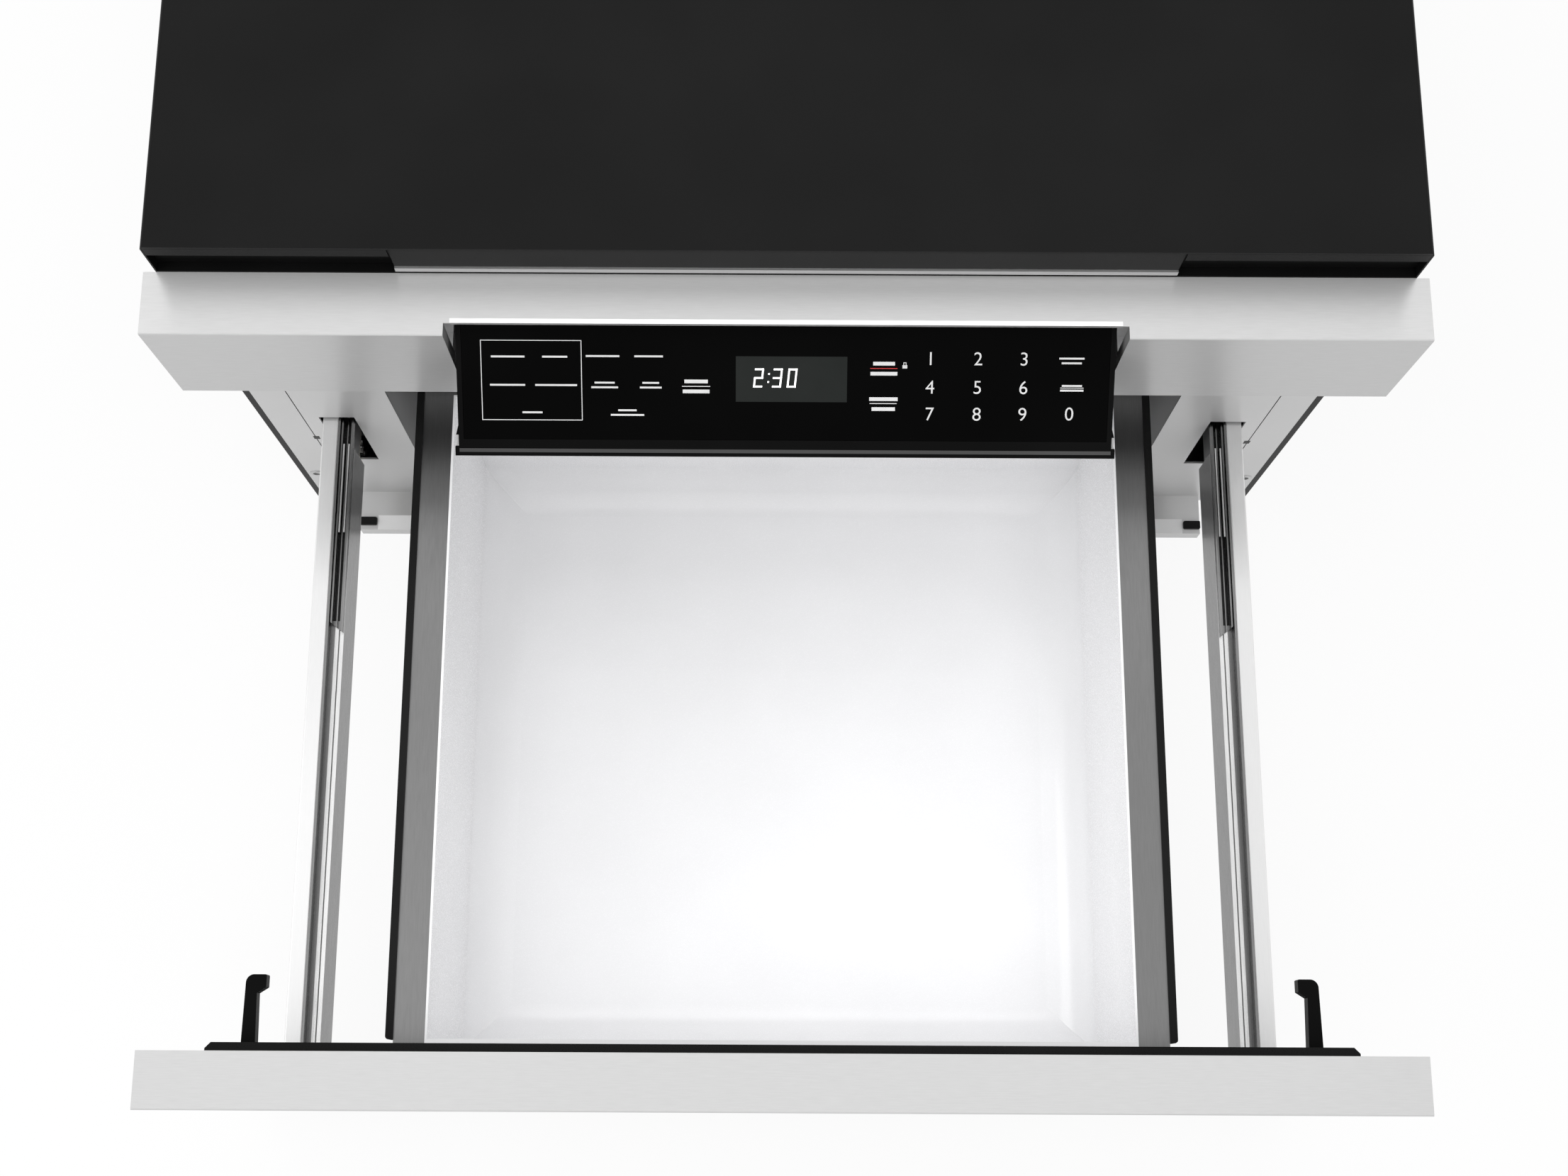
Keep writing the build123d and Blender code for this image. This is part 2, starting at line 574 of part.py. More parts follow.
def stirrer_cover():
    """Shallow cover under the ceiling that hides the stirrer."""
    cover = box(-COVER_HALF, COVER_HALF, COVER_FRONT, COVER_BACK, CAVITY_TOP - COVER_DROP, CAVITY_TOP)
    cover = fillet(cover.edges().filter_by(Axis.Z), 12.0)
    inner = COVER_HALF - SHEET
    hollow = box(-inner, inner, COVER_FRONT + SHEET, COVER_BACK - SHEET,
                 CAVITY_TOP - COVER_DROP + SHEET, CAVITY_TOP + 1)
    hollow = fillet(hollow.edges().filter_by(Axis.Z), 12.0 - SHEET)
    return cover - hollow


def waveguide():
    """Box that leads the waves from the magnetron to the port over the cavity."""
    low = CAVITY_TOP + SHEET
    guide = box(-GUIDE_HALF, GUIDE_HALF, GUIDE_FRONT, GUIDE_BACK, low, low + GUIDE_HEIGHT)
    guide -= box(-GUIDE_HALF + SHEET, GUIDE_HALF - SHEET, GUIDE_FRONT + SHEET, GUIDE_BACK - SHEET,
                 low + SHEET, low + GUIDE_HEIGHT - SHEET)
    guide -= box(-PORT_HALF, PORT_HALF, PORT_Y - PORT_HALF, PORT_Y + PORT_HALF, low - 1, low + SHEET + 1)
    guide -= rod_z(SHAFT_HOLE, low, low + GUIDE_HEIGHT + 5, 0, PORT_Y)
    guide -= rod_z(ANTENNA_HOLE, low + GUIDE_HEIGHT - 5, low + GUIDE_HEIGHT + 5, 0, MAGNETRON_Y)
    return guide


FIN_COUNT = 9
FIN_PITCH = 6.0
MAGNETRON_HALF_X = 46.0
MAGNETRON_HALF_Y = 36.0
MAGNETRON_HEIGHT = 80.0


def magnetron():
    """Magnetron: antenna, anode with cooling fins, yoke and filter box."""
    low = CAVITY_TOP + SHEET + GUIDE_HEIGHT
    yoke = box(-MAGNETRON_HALF_X, MAGNETRON_HALF_X, MAGNETRON_Y - MAGNETRON_HALF_Y,
               MAGNETRON_Y + MAGNETRON_HALF_Y, low, low + MAGNETRON_HEIGHT)
    yoke -= box(-MAGNETRON_HALF_X + 3, MAGNETRON_HALF_X - 3, MAGNETRON_Y - MAGNETRON_HALF_Y - 1,
                MAGNETRON_Y + MAGNETRON_HALF_Y + 1, low + 3, low + MAGNETRON_HEIGHT - 3)
    tube = rod_z(18.0, low + 2, low + MAGNETRON_HEIGHT - 2, 0, MAGNETRON_Y)
    for fin in range(FIN_COUNT):
        z = low + 12 + fin * FIN_PITCH
        tube += box(-MAGNETRON_HALF_X + 2, MAGNETRON_HALF_X - 2, MAGNETRON_Y - MAGNETRON_HALF_Y + 2,
                    MAGNETRON_Y + MAGNETRON_HALF_Y - 2, z, z + 0.8)
    antenna = rod_z(ANTENNA_RADIUS, low - ANTENNA_LENGTH, low + 2, 0, MAGNETRON_Y)
    filter_box = box(-28, 28, MAGNETRON_Y - 25, MAGNETRON_Y + 25,
                     low + MAGNETRON_HEIGHT, low + MAGNETRON_HEIGHT + 30)
    return yoke + tube + antenna + filter_box


STIRRER_MOTOR_RADIUS = 22.0
STIRRER_MOTOR_HEIGHT = 20.0
BLADE_RADIUS = 38.0


def stirrer_motor():
    """Small synchronous motor on top of the waveguide."""
    low = CAVITY_TOP + SHEET + GUIDE_HEIGHT
    body = rod_z(STIRRER_MOTOR_RADIUS, low, low + STIRRER_MOTOR_HEIGHT, 0, PORT_Y)
    body += box(-30, 30, PORT_Y - 5, PORT_Y + 5, low, low + 2)
    body -= rod_z(SHAFT_RADIUS + PIN_PLAY, low - 1, low + STIRRER_MOTOR_HEIGHT - 4, 0, PORT_Y)
    return body


def stirrer_blade():
    """Shaft and three-bladed metal stirrer under the port."""
    low = CAVITY_TOP - COVER_DROP + 4
    top = CAVITY_TOP + SHEET + GUIDE_HEIGHT + STIRRER_MOTOR_HEIGHT - 5
    blade = rod_z(SHAFT_RADIUS, low, top, 0, PORT_Y)
    for arm in range(3):
        wing = box(0, BLADE_RADIUS, -7, 7, low, low + SHEET)
        blade += Pos(0, PORT_Y, 0) * Rot(0, 0, 120.0 * arm) * wing
    return blade


BAY_MIDDLE = CASE_DEPTH - REAR_BAY / 2
TRANSFORMER_X = -110.0
CORE_WIDTH = 100.0
CORE_DEPTH = 60.0
CORE_HEIGHT = 80.0
WINDING_WIDTH = 72.0
WINDING_DEPTH = 100.0
WINDING_HEIGHT = 54.0
FOOT_THICK = 3.0
FOOT_EDGE = 5.0


def hv_transformer():
    """Laminated core with its windings, on a foot plate."""
    top = SHEET + FOOT_THICK
    foot = Box(CORE_WIDTH + 2 * FOOT_EDGE, WINDING_DEPTH - 2 * FOOT_EDGE, FOOT_THICK)
    core = Box(CORE_WIDTH, CORE_DEPTH, CORE_HEIGHT)
    windings = Box(WINDING_WIDTH, WINDING_DEPTH, WINDING_HEIGHT)
    windings = fillet(windings.edges().filter_by(Axis.Z), WINDING_DEPTH / 8)
    whole = Pos(0, 0, SHEET + FOOT_THICK / 2) * foot
    whole += Pos(0, 0, top + CORE_HEIGHT / 2) * core
    whole += Pos(0, 0, top + CORE_HEIGHT / 2) * windings
    return Pos(TRANSFORMER_X, BAY_MIDDLE, 0) * whole


CAN_WIDTH = 52.0
CAN_DEPTH = 34.0
CAN_HEIGHT = 95.0
TERMINAL_RADIUS = 2.5
TERMINAL_HEIGHT = 9.0


def hv_capacitor():
    """Oval can capacitor with two terminals, standing on the floor."""
    can = Pos(0, BAY_MIDDLE, SHEET + CAN_HEIGHT / 2) * Box(CAN_WIDTH, CAN_DEPTH, CAN_HEIGHT)
    can = fillet(can.edges().filter_by(Axis.Z), CAN_DEPTH * 0.48)
    top = SHEET + CAN_HEIGHT
    for side in (-1, 1):
        can += rod_z(TERMINAL_RADIUS, top - 1, top + TERMINAL_HEIGHT, side * CAN_WIDTH / 5, BAY_MIDDLE)
    return can


DIODE_X = 38.0
DIODE_Y = BAY_MIDDLE - 16.0


def hv_diode():
    """High-voltage diode on a small standing bracket."""
    bracket = box(DIODE_X - 6, DIODE_X + 6, DIODE_Y, DIODE_Y + SHEET, SHEET, SHEET + 30)
    bracket += box(DIODE_X - 6, DIODE_X + 6, DIODE_Y, DIODE_Y + 10, SHEET, 2 * SHEET)
    return bracket + rod_x(4, DIODE_X - 14, DIODE_X + 10, DIODE_Y - 3.5, SHEET + 24)


FAN_DEPTH = 34.0
FAN_WALL = 2.0
FAN_MOTOR_HALF = 28.0
FAN_SHAFT_REACH = 28.0   # the shaft's length in front of the fan's frame


def cooling_fan_housing():
    """Square fan frame on the inside of the rear panel, with a spider that holds the motor."""
    half = GRILLE_RADIUS + 6
    back = CASE_DEPTH - SHEET
    front = back - FAN_DEPTH
    frame = box(GRILLE_X - half, GRILLE_X + half, front, back, GRILLE_Z - half, GRILLE_Z + half)
    frame -= rod_y(GRILLE_RADIUS + 2, front - 1, back + 1, GRILLE_X, GRILLE_Z)
    for turn in (0, 90):
        bar = box(-half + 1, half - 1, front, front + FAN_WALL, -4, 4)
        frame += Pos(GRILLE_X, 0, GRILLE_Z) * Rot(0, turn, 0) * bar
    return frame - rod_y(SHAFT_RADIUS + 1, front - 1, front + 5, GRILLE_X, GRILLE_Z)


def cooling_fan_motor():
    """Shaded-pole motor in front of the fan."""
    back = CASE_DEPTH - SHEET - FAN_DEPTH
    body = box(GRILLE_X - FAN_MOTOR_HALF, GRILLE_X + FAN_MOTOR_HALF, back - 26, back - 6,
               GRILLE_Z - 32, GRILLE_Z + 24)
    body += rod_y(14, back - 36, back, GRILLE_X, GRILLE_Z)
    return body - rod_y(SHAFT_RADIUS + PIN_PLAY, back - 30, back + 1, GRILLE_X, GRILLE_Z)


BLADES = 5
FAN_HUB = 14.0
FAN_TWIST = 28.0


def cooling_fan_blade():
    """Hub, shaft and pitched blades of the cooling fan."""
    back = CASE_DEPTH - SHEET
    front = back - FAN_DEPTH
    middle = back - FAN_DEPTH / 2 + 2
    rotor = rod_y(FAN_HUB, middle - 9, middle + 9, GRILLE_X, GRILLE_Z)
    rotor += rod_y(SHAFT_RADIUS, front - FAN_SHAFT_REACH, middle, GRILLE_X, GRILLE_Z)
    for blade in range(BLADES):
        wing = Pos(FAN_HUB + 16, 0, 0) * Rot(FAN_TWIST, 0, 0) * Box(36, 2, 24)
        rotor += Pos(GRILLE_X, middle, GRILLE_Z) * Rot(0, 360.0 / BLADES * blade, 0) * wing
    return rotor


BOARD_LEFT = 60.0
BOARD_WIDTH = 170.0
BOARD_DEPTH = 100.0
STANDOFF = 8.0
STANDOFF_RADIUS = 3.0
STANDOFF_EDGE = 6.0
RELAY = 28.0
COIL_RADIUS = 14.0
COIL_HEIGHT = 26.0
CAPACITOR_RADIUS = 6.0
CAPACITOR_HEIGHT = 30.0


def power_board():
    """Supply and relay board on stand-offs at the right rear, with its larger components."""
    low = SHEET + STANDOFF
    top = low + BOARD_THICK
    right = BOARD_LEFT + BOARD_WIDTH
    front = BAY_MIDDLE - BOARD_DEPTH / 2
    back = BAY_MIDDLE + BOARD_DEPTH / 2
    board = box(BOARD_LEFT, right, front, back, low, top)
    for x in (BOARD_LEFT + STANDOFF_EDGE, right - STANDOFF_EDGE):
        for y in (front + STANDOFF_EDGE, back - STANDOFF_EDGE):
            board += rod_z(STANDOFF_RADIUS, SHEET, low, x, y)
    for relay in (0.25, 0.45):
        x = BOARD_LEFT + relay * BOARD_WIDTH
        board += box(x - RELAY / 2, x + RELAY / 2, front + RELAY / 2, front + RELAY, top, top + RELAY / 2)
    board += rod_z(COIL_RADIUS, top, top + COIL_HEIGHT, right - BOARD_WIDTH / 3, BAY_MIDDLE)
    for row in (-1, 0, 1):
        y = BAY_MIDDLE + row * 3 * CAPACITOR_RADIUS
        board += rod_z(CAPACITOR_RADIUS, top, top + CAPACITOR_HEIGHT, right - BOARD_WIDTH / 7, y)
    return board


def oven_lamp():
    """Lamp holder on the side of the cavity, with its bulb behind the hole."""
    wall = CAVITY_HALF + SHEET
    holder = box(wall, wall + 22, LAMP_Y - 18, LAMP_Y + 18, LAMP_Z - 18, LAMP_Z + 18)
    holder -= rod_x(LAMP_HOLE, wall - 1, wall + 18, LAMP_Y, LAMP_Z)
    return holder + rod_x(8, wall + 3, wall + 19, LAMP_Y, LAMP_Z)


SWITCH_Y = 20.0
SWITCH_DEPTH = 28.0
SWITCH_LEVER = 3.0
SWITCH_AIR = 6.2
SWITCH_WIDTH = 21.0
SWITCH_HALF = 5.0
SWITCH_PLATE = 2.0
LEVER_START = 8.0
LEVER_LENGTH = 6.0
LEVER_HALF = 2.0
SWITCH_OUTER = BARB_INNER - SWITCH_AIR - SWITCH_LEVER
SWITCH_INNER = SWITCH_OUTER - SWITCH_WIDTH


def interlock_switches():
    """Two bracketed microswitches, one beside each latch hook's way."""
    back = SWITCH_Y + SWITCH_DEPTH
    high = HOOK_Z + SWITCH_HALF
    lever_y = SWITCH_Y + LEVER_START
    switch = box(SWITCH_INNER, SWITCH_OUTER, SWITCH_Y, back, HOOK_Z - SWITCH_HALF, high)
    bracket = box(SWITCH_INNER, SWITCH_OUTER, FRAME_SHEET, back, high, high + SWITCH_PLATE)
    lever = box(SWITCH_OUTER, SWITCH_OUTER + SWITCH_LEVER, lever_y, lever_y + LEVER_LENGTH,
                HOOK_Z - LEVER_HALF, HOOK_Z + LEVER_HALF)
    unit = switch + bracket + lever
    return [unit, mirrored(unit)]


# ---------------------------------------------------------------- slides

def fixed_rail_right():
    """Rail that stays in the chassis, hung from a flange on the cavity's side."""
    middle = (MID_INNER + MID_OUTER) / 2
    web_in = middle - FIXED_SHEET / 2
    web_out = middle + FIXED_SHEET / 2
    back = FIXED_FRONT + FIXED_LENGTH
    wall = CAVITY_HALF + SHEET
    low = MID_FLOOR + MID_SHEET + MID_RIB_RISE + RUN
    rail = box(web_in, web_out, FIXED_FRONT, back, low, FIXED_FLANGE_Z + FIXED_SHEET)
    rail += box(wall, web_out, FIXED_FRONT, CAVITY_BACK, FIXED_FLANGE_Z, FIXED_FLANGE_Z + FIXED_SHEET)
    rail += box(wall, wall + FIXED_SHEET, FIXED_FRONT, CAVITY_BACK, FIXED_FLANGE_Z, FIXED_FLANGE_Z + 14)
    return rail


def intermediate_rail_right():
    """Open-topped middle rail on the shelf of the drawer's rail, cut obliquely in front."""
    back = MID_FRONT + MID_LENGTH
    middle = (MID_INNER + MID_OUTER) / 2
    low = MID_FLOOR + MID_SHEET
    rail = box(MID_INNER, MID_OUTER, MID_FRONT, back, MID_FLOOR, MID_TOP)
    rail -= box(MID_INNER + MID_SHEET, MID_OUTER - MID_SHEET, MID_FRONT - 1, back + 1, low, MID_TOP + 1)
    rail += box(middle - MID_RIB / 2, middle + MID_RIB / 2, MID_FRONT, back, low, low + MID_RIB_RISE)
    corner = [(MID_INNER, MID_FRONT), (MID_OUTER + 1, MID_FRONT), (MID_OUTER + 1, MID_FRONT + MID_OBLIQUE)]
    return rail - prism_z(corner, MID_FLOOR - 1, MID_TOP + 1)


def drawer_rail_right():
    """Outer rail of the slide on the support bar: a grooved shelf with its inner side turned down."""
    back = BAR_TAIL - 2
    rail = box(RAIL_INNER, BAR_INNER, PLATE_REAR, RAIL_TAIL, RAIL_BOTTOM, SHELF_TOP)
    rail -= box(RAIL_INNER + RAIL_SHEET, BAR_INNER - RAIL_SHEET, PLATE_REAR - 1, RAIL_TAIL + 1,
                RAIL_BOTTOM - 1, SHELF_TOP - RAIL_SHEET)
    groove = RAIL_INNER + RAIL_GROOVE
    rail -= box(groove, groove + RAIL_GROOVE_WIDTH, PLATE_REAR - 1, RAIL_TAIL + 1, SHELF_TOP - RAIL_SHEET / 2,
                SHELF_TOP + 1)
    return rail + box(BAR_INNER - RAIL_SHEET, BAR_INNER, PLATE_REAR, back, RAIL_BOTTOM, BAR_TOP)


def support_bar_right():
    """Channel of bright sheet, open below, that carries the door on the slide."""
    bar = box(BAR_INNER, BAR_OUTER, PLATE_REAR, BAR_TAIL, BAR_BOTTOM, BAR_TOP)
    bar = fillet(bar.edges().filter_by(Axis.Y).group_by(Axis.Z)[-1], BAR_EDGE_RADIUS)
    bar -= box(BAR_INNER + BAR_SHEET, BAR_OUTER - BAR_SHEET, PLATE_REAR - 1, BAR_TAIL + 1,
               BAR_BOTTOM - 1, BAR_TOP - BAR_SHEET)
    return bar


def drive_rack():
    """Toothed rack in the left support bar, teeth down."""
    pitch = math.pi * RACK_MODULE
    tip_z = RACK_PITCH_Z - ADDENDUM * RACK_MODULE
    root_z = RACK_PITCH_Z + DEDENDUM * RACK_MODULE
    slope = math.tan(math.radians(PRESSURE_ANGLE))
    half_pitch_line = pitch / 4 - BACKLASH / 4
    half_tip = half_pitch_line - ADDENDUM * RACK_MODULE * slope
    half_root = half_pitch_line + DEDENDUM * RACK_MODULE * slope
    first = DRIVE_Y + pitch - RACK_TEETH * pitch
    points = [(first - pitch / 2, RACK_TOP), (first - pitch / 2, root_z)]
    for tooth in range(RACK_TEETH):
        y = first + (tooth + 1) * pitch - pitch
        points += [(y - half_root, root_z), (y - half_tip, tip_z)]
        points += [(y + half_tip, tip_z), (y + half_root, root_z)]
    last = first + (RACK_TEETH - 1) * pitch + pitch / 2
    points += [(last, root_z), (last, RACK_TOP)]
    inner = BAR_INNER + BAR_SHEET
    outer = BAR_OUTER - BAR_SHEET
    return prism_x(points, -outer, -inner)


def gear_outline(teeth, module, from_tooth, to_tooth, start_angle):
    """Points of involute teeth round a centre; a tooth gap lies at start_angle in degrees."""
    pitch_r = teeth * module / 2
    base_r = pitch_r * math.cos(math.radians(PRESSURE_ANGLE))
    tip_r = pitch_r + ADDENDUM * module
    root_r = pitch_r - DEDENDUM * module
    inv_pitch = math.tan(math.radians(PRESSURE_ANGLE)) - math.radians(PRESSURE_ANGLE)
    half_at_pitch = math.pi / (2 * teeth) - BACKLASH / (4 * pitch_r)
    flank = []
    steps = 4
    start_r = max(base_r, root_r)
    for step in range(steps + 1):
        r = start_r + (tip_r - start_r) * step / steps
        roll = math.acos(min(1.0, base_r / r))
        flank.append((r, half_at_pitch + inv_pitch - (math.tan(roll) - roll)))
    points = []
    for tooth in range(from_tooth, to_tooth):
        middle = math.radians(start_angle) + (tooth + 0.5) * 2 * math.pi / teeth
        if root_r < start_r:
            points.append((root_r, middle - flank[0][1]))
        points += [(r, middle - half) for r, half in flank]
        points += [(r, middle + half) for r, half in reversed(flank)]
        if root_r < start_r:
            points.append((root_r, middle + flank[0][1]))
    return [(r * math.cos(a), r * math.sin(a)) for r, a in points]


DRIVE_Z = RACK_PITCH_Z - DRIVE_TEETH * RACK_MODULE / 2
DRIVE_SHAFT = 3.0
MOTOR_FACE = SLOT_OUTER + RUN
MOTOR_LENGTH = 34.0
MOTOR_RADIUS = 19.0
MOTOR_PLATE = 2.0
MOTOR_PLATE_HALF = 24.0
MOTOR_PLATE_BACK = 30.0   # behind the pinion
MOTOR_FOOT_FRONT = 10.0
MOTOR_FOOT = 16.0


def drive_pinion():
    """Pinion under the rack, on the gearmotor's shaft."""
    outline = [(DRIVE_Y + y, DRIVE_Z + z)
               for y, z in gear_outline(DRIVE_TEETH, RACK_MODULE, 0, DRIVE_TEETH, 90.0)]
    wheel = prism_x(outline, -(BAR_OUTER - BAR_SHEET), -(BAR_INNER + BAR_SHEET))
    return wheel + rod_x(DRIVE_SHAFT, -MOTOR_FACE - 8, -BAR_INNER, DRIVE_Y, DRIVE_Z)


def drawer_motor():
    """Gearmotor of the drawer, on an angle bracket behind the frame."""
    face = -MOTOR_FACE
    motor = rod_x(MOTOR_RADIUS, face - MOTOR_LENGTH, face, DRIVE_Y, DRIVE_Z)
    front = DRIVE_Y + MOTOR_FOOT_FRONT
    back = DRIVE_Y + MOTOR_PLATE_BACK
    motor += box(face - MOTOR_PLATE, face, FRAME_SHEET, back,
                 DRIVE_Z - MOTOR_PLATE_HALF, DRIVE_Z + MOTOR_PLATE_HALF)
    motor += box(face - MOTOR_PLATE, face, front, back, SHEET, DRIVE_Z)
    motor += box(face - MOTOR_FOOT, face, front, back, SHEET, SHEET + MOTOR_PLATE)
    return motor - rod_x(DRIVE_SHAFT + PIN_PLAY, face - 10, face + 1, DRIVE_Y, DRIVE_Z)


# ---------------------------------------------------------------- door

def door_skin():
    """Front, top, bottom and sides of the door, bent from one sheet."""
    back = PLATE_FRONT
    skin = box(-FRONT_HALF, FRONT_HALF, DOOR_FRONT, back, DOOR_BOTTOM, DOOR_TOP)
    front_edges = skin.edges().filter_by(Axis.X).sort_by(Axis.Y)[:2]
    skin = fillet(front_edges, TRIM_EDGE_RADIUS)
    inner = FRONT_HALF - TRIM_SHEET
    skin -= box(-inner, inner, DOOR_FRONT + TRIM_SHEET, back + 1, DOOR_BOTTOM + TRIM_SHEET,
                DOOR_TOP - TRIM_SHEET)
    return skin


def door_back_panel():
    """Sheet that closes the back of the door, drilled for its screws."""
    inner = FRONT_HALF - TRIM_SHEET - FIT
    sheet = box(-inner, inner, PLATE_FRONT - SHEET, PLATE_FRONT,
                DOOR_BOTTOM + TRIM_SHEET + FIT, DOOR_TOP - TRIM_SHEET - FIT)
    for side in (-1, 1):
        for z in DOOR_SCREW_Z:
            sheet -= rod_y(SCREW_RADIUS + FIT, PLATE_FRONT - 5, PLATE_FRONT + 5, side * DOOR_SCREW_X, z)
    return sheet


def door_choke_channel():
    """Slotted ring inside the door that stops waves leaking past its edge."""
    back = PLATE_FRONT - SHEET
    front = back - CHOKE_DEPTH
    low = DOOR_BOTTOM + 30
    high = DOOR_TOP - 20
    ring = box(-CHOKE_HALF, CHOKE_HALF, front, back, low, high)
    ring -= box(-CHOKE_HALF + CHOKE_WIDTH, CHOKE_HALF - CHOKE_WIDTH, front - 1, back + 1,
                low + CHOKE_WIDTH, high - CHOKE_WIDTH)
    groove = box(-CHOKE_HALF + SHEET, CHOKE_HALF - SHEET, front + SHEET, back + 1, low + SHEET, high - SHEET)
    groove -= box(-CHOKE_HALF + CHOKE_WIDTH - SHEET, CHOKE_HALF - CHOKE_WIDTH + SHEET, front, back + 2,
                  low + CHOKE_WIDTH - SHEET, high - CHOKE_WIDTH + SHEET)
    return ring - groove


def door_inner_plate():
    """Black plate on the back of the door; it lands on the frame round the cavity."""
    plate = box(-DOOR_PLATE_HALF, DOOR_PLATE_HALF, PLATE_FRONT, PLATE_REAR,
                DOOR_BOTTOM + DOOR_PLATE_INSET, DOOR_TOP - DOOR_PLATE_INSET)
    rear_ends = plate.faces().sort_by(Axis.Y)[-1].edges().filter_by(Axis.Z)
    return chamfer(rear_ends, DOOR_PLATE_CHAMFER)


def door_screws():
    """Screws through the back panel beside the inner plate."""
    screws = []
    for side in (-1, 1):
        for z in DOOR_SCREW_Z:
            x = side * DOOR_SCREW_X
            head = rod_y(SCREW_HEAD_RADIUS, PLATE_FRONT, PLATE_FRONT + DOOR_SCREW_HEAD, x, z)
            head = fillet(head.edges().sort_by(Axis.Y)[-1], DOOR_SCREW_HEAD * 0.6)
            screws.append(head + rod_y(SCREW_RADIUS, PLATE_FRONT - SCREW_LENGTH, PLATE_FRONT, x, z))
    return screws


def latch_hook_right():
    """Hook that enters the frame and works the interlock switch; its barb points to the middle."""
    tip = PLATE_REAR + HOOK_LENGTH
    neck_end = tip - BARB_LENGTH
    outline = [(HOOK_INNER, PLATE_REAR), (HOOK_INNER + HOOK_TAPER, neck_end),
               (BARB_INNER, neck_end + BARB_SLANT), (BARB_INNER, tip), (HOOK_OUTER - HOOK_TAPER, tip), (HOOK_OUTER, PLATE_REAR)]
    hook = prism_z(outline, HOOK_Z - HOOK_THICK / 2, HOOK_Z + HOOK_THICK / 2)
    tip_edges = hook.edges().filter_by(Axis.Z).sort_by(Axis.Y)[-2:].sort_by(Axis.X)
    hook = fillet(tip_edges[-1], HOOK_ROUND)
    inner_tip = hook.edges().filter_by(Axis.Z).sort_by(Axis.X)[0:2].sort_by(Axis.Y)[-1]
    return fillet(inner_tip, BARB_RADIUS)


# ---------------------------------------------------------------- tub

def rounded_trough(half, front, back, low, high, radius):
    """Block whose lower edges are all rounded, from two crossing U outlines."""
    across = box(-half, half, front, back, low, high)
    across = fillet(across.edges().filter_by(Axis.Y).group_by(Axis.Z)[0], radius)
    along = box(-half, half, front, back, low, high)
    along = fillet(along.edges().filter_by(Axis.X).group_by(Axis.Z)[0], radius)
    return across & along


def drawer_tub():
    """Open tub that holds the food."""
    tub = rounded_trough(TUB_HALF + TUB_SHEET, TUB_FRONT, TUB_REAR, TUB_FLOOR - TUB_SHEET, RIM_TOP,
                         TUB_RADIUS + TUB_SHEET)
    hollow = rounded_trough(TUB_HALF, TUB_INNER_FRONT, TUB_INNER_REAR, TUB_FLOOR, RIM_TOP + TUB_HEIGHT,
                            TUB_RADIUS)
    return tub - hollow


def rim_flange():
    """Flat rim round three sides of the tub, turned down at its outer edge."""
    outer = TUB_HALF + RIM_WIDTH
    inner = TUB_HALF + TUB_SHEET
    back = TUB_INNER_REAR + RIM_WIDTH
    low = RIM_UNDERSIDE - RIM_DROP
    rim = box(-outer, outer, TUB_FRONT, back, low, RIM_TOP)
    rim -= box(-outer + RIM_SHEET, outer - RIM_SHEET, TUB_FRONT - 1, back - RIM_SHEET, low - 1, RIM_UNDERSIDE)
    rim -= box(-inner, inner, TUB_FRONT - 1, TUB_REAR, RIM_UNDERSIDE - 1, RIM_TOP + 1)
    return rim


def rim_gasket():
    """Black edge strip on the outside of the rim, along both sides and the back."""
    outer = TUB_HALF + RIM_WIDTH
    rear = TUB_INNER_REAR + RIM_WIDTH
    top = RIM_TOP + GASKET_PROUD
    front = TUB_FRONT + GASKET_TIP_GAP
    strip = box(-outer - GASKET, outer + GASKET, front, rear + GASKET, top - GASKET_HEIGHT, top)
    strip = fillet(strip.edges().filter_by(Axis.Z), GASKET * 0.45)
    return strip - box(-outer, outer, front - 1, rear, top - GASKET_HEIGHT - 1, top + 1)


# ---------------------------------------------------------------- control panel
# Drawn shut, then tilted out about its hinge.

SLOPE = math.radians(GLASS_SLOPE)


def glass_point(along, out):
    """Y and Z of a point of the shut panel: along the glass from the lip, and out of it."""
    y = -TRIM_DEPTH + along * math.cos(SLOPE) + out * math.sin(SLOPE)
    z = FASCIA_TOP - along * math.sin(SLOPE) + out * math.cos(SLOPE)
    return (y, z)


def glass_slab(start, end, low, high, x0, x1):
    """A slab of the shut panel, level with the glass."""
    corners = [glass_point(start, low), glass_point(end, low),
               glass_point(end, high), glass_point(start, high)]
    return prism_x(corners, x0, x1)


def tilted_out(shape):
    """Turn a piece of the shut panel to where it stands with the panel open."""
    to_hinge = Pos(0, HINGE_Y, HINGE_Z)
    return to_hinge * Rot(PANEL_OPEN, 0, 0) * Pos(0, -HINGE_Y, -HINGE_Z) * shape


FACE_BACK = -TRIM_DEPTH + TRIM_SHEET
FACE_BOTTOM = FASCIA_TOP - FACE_HEIGHT
BEZEL_FOOT = (FACE_BACK, FACE_BOTTOM + 2.0)


def panel_face():
    """Bright front of the control panel, folded at the ends."""
    face = box(-FACE_HALF, FACE_HALF, -TRIM_DEPTH, FACE_BACK, FACE_BOTTOM, FASCIA_TOP - LIP_HEIGHT)
    fold = box(BEZEL_HALF + FIT, FACE_HALF, FACE_BACK, FACE_BACK + 6, FACE_BOTTOM, FASCIA_TOP - 8)
    return face + fold + mirrored(fold)


def bezel_outline():
    """Side view of the housing: lip, tail and foot."""
    top_front = (FACE_BACK, FASCIA_TOP - TRIM_SHEET * math.tan(SLOPE))
    return [top_front, glass_point(BEZEL_LENGTH, 0), glass_point(BEZEL_LENGTH, -BEZEL_TAIL), BEZEL_FOOT]


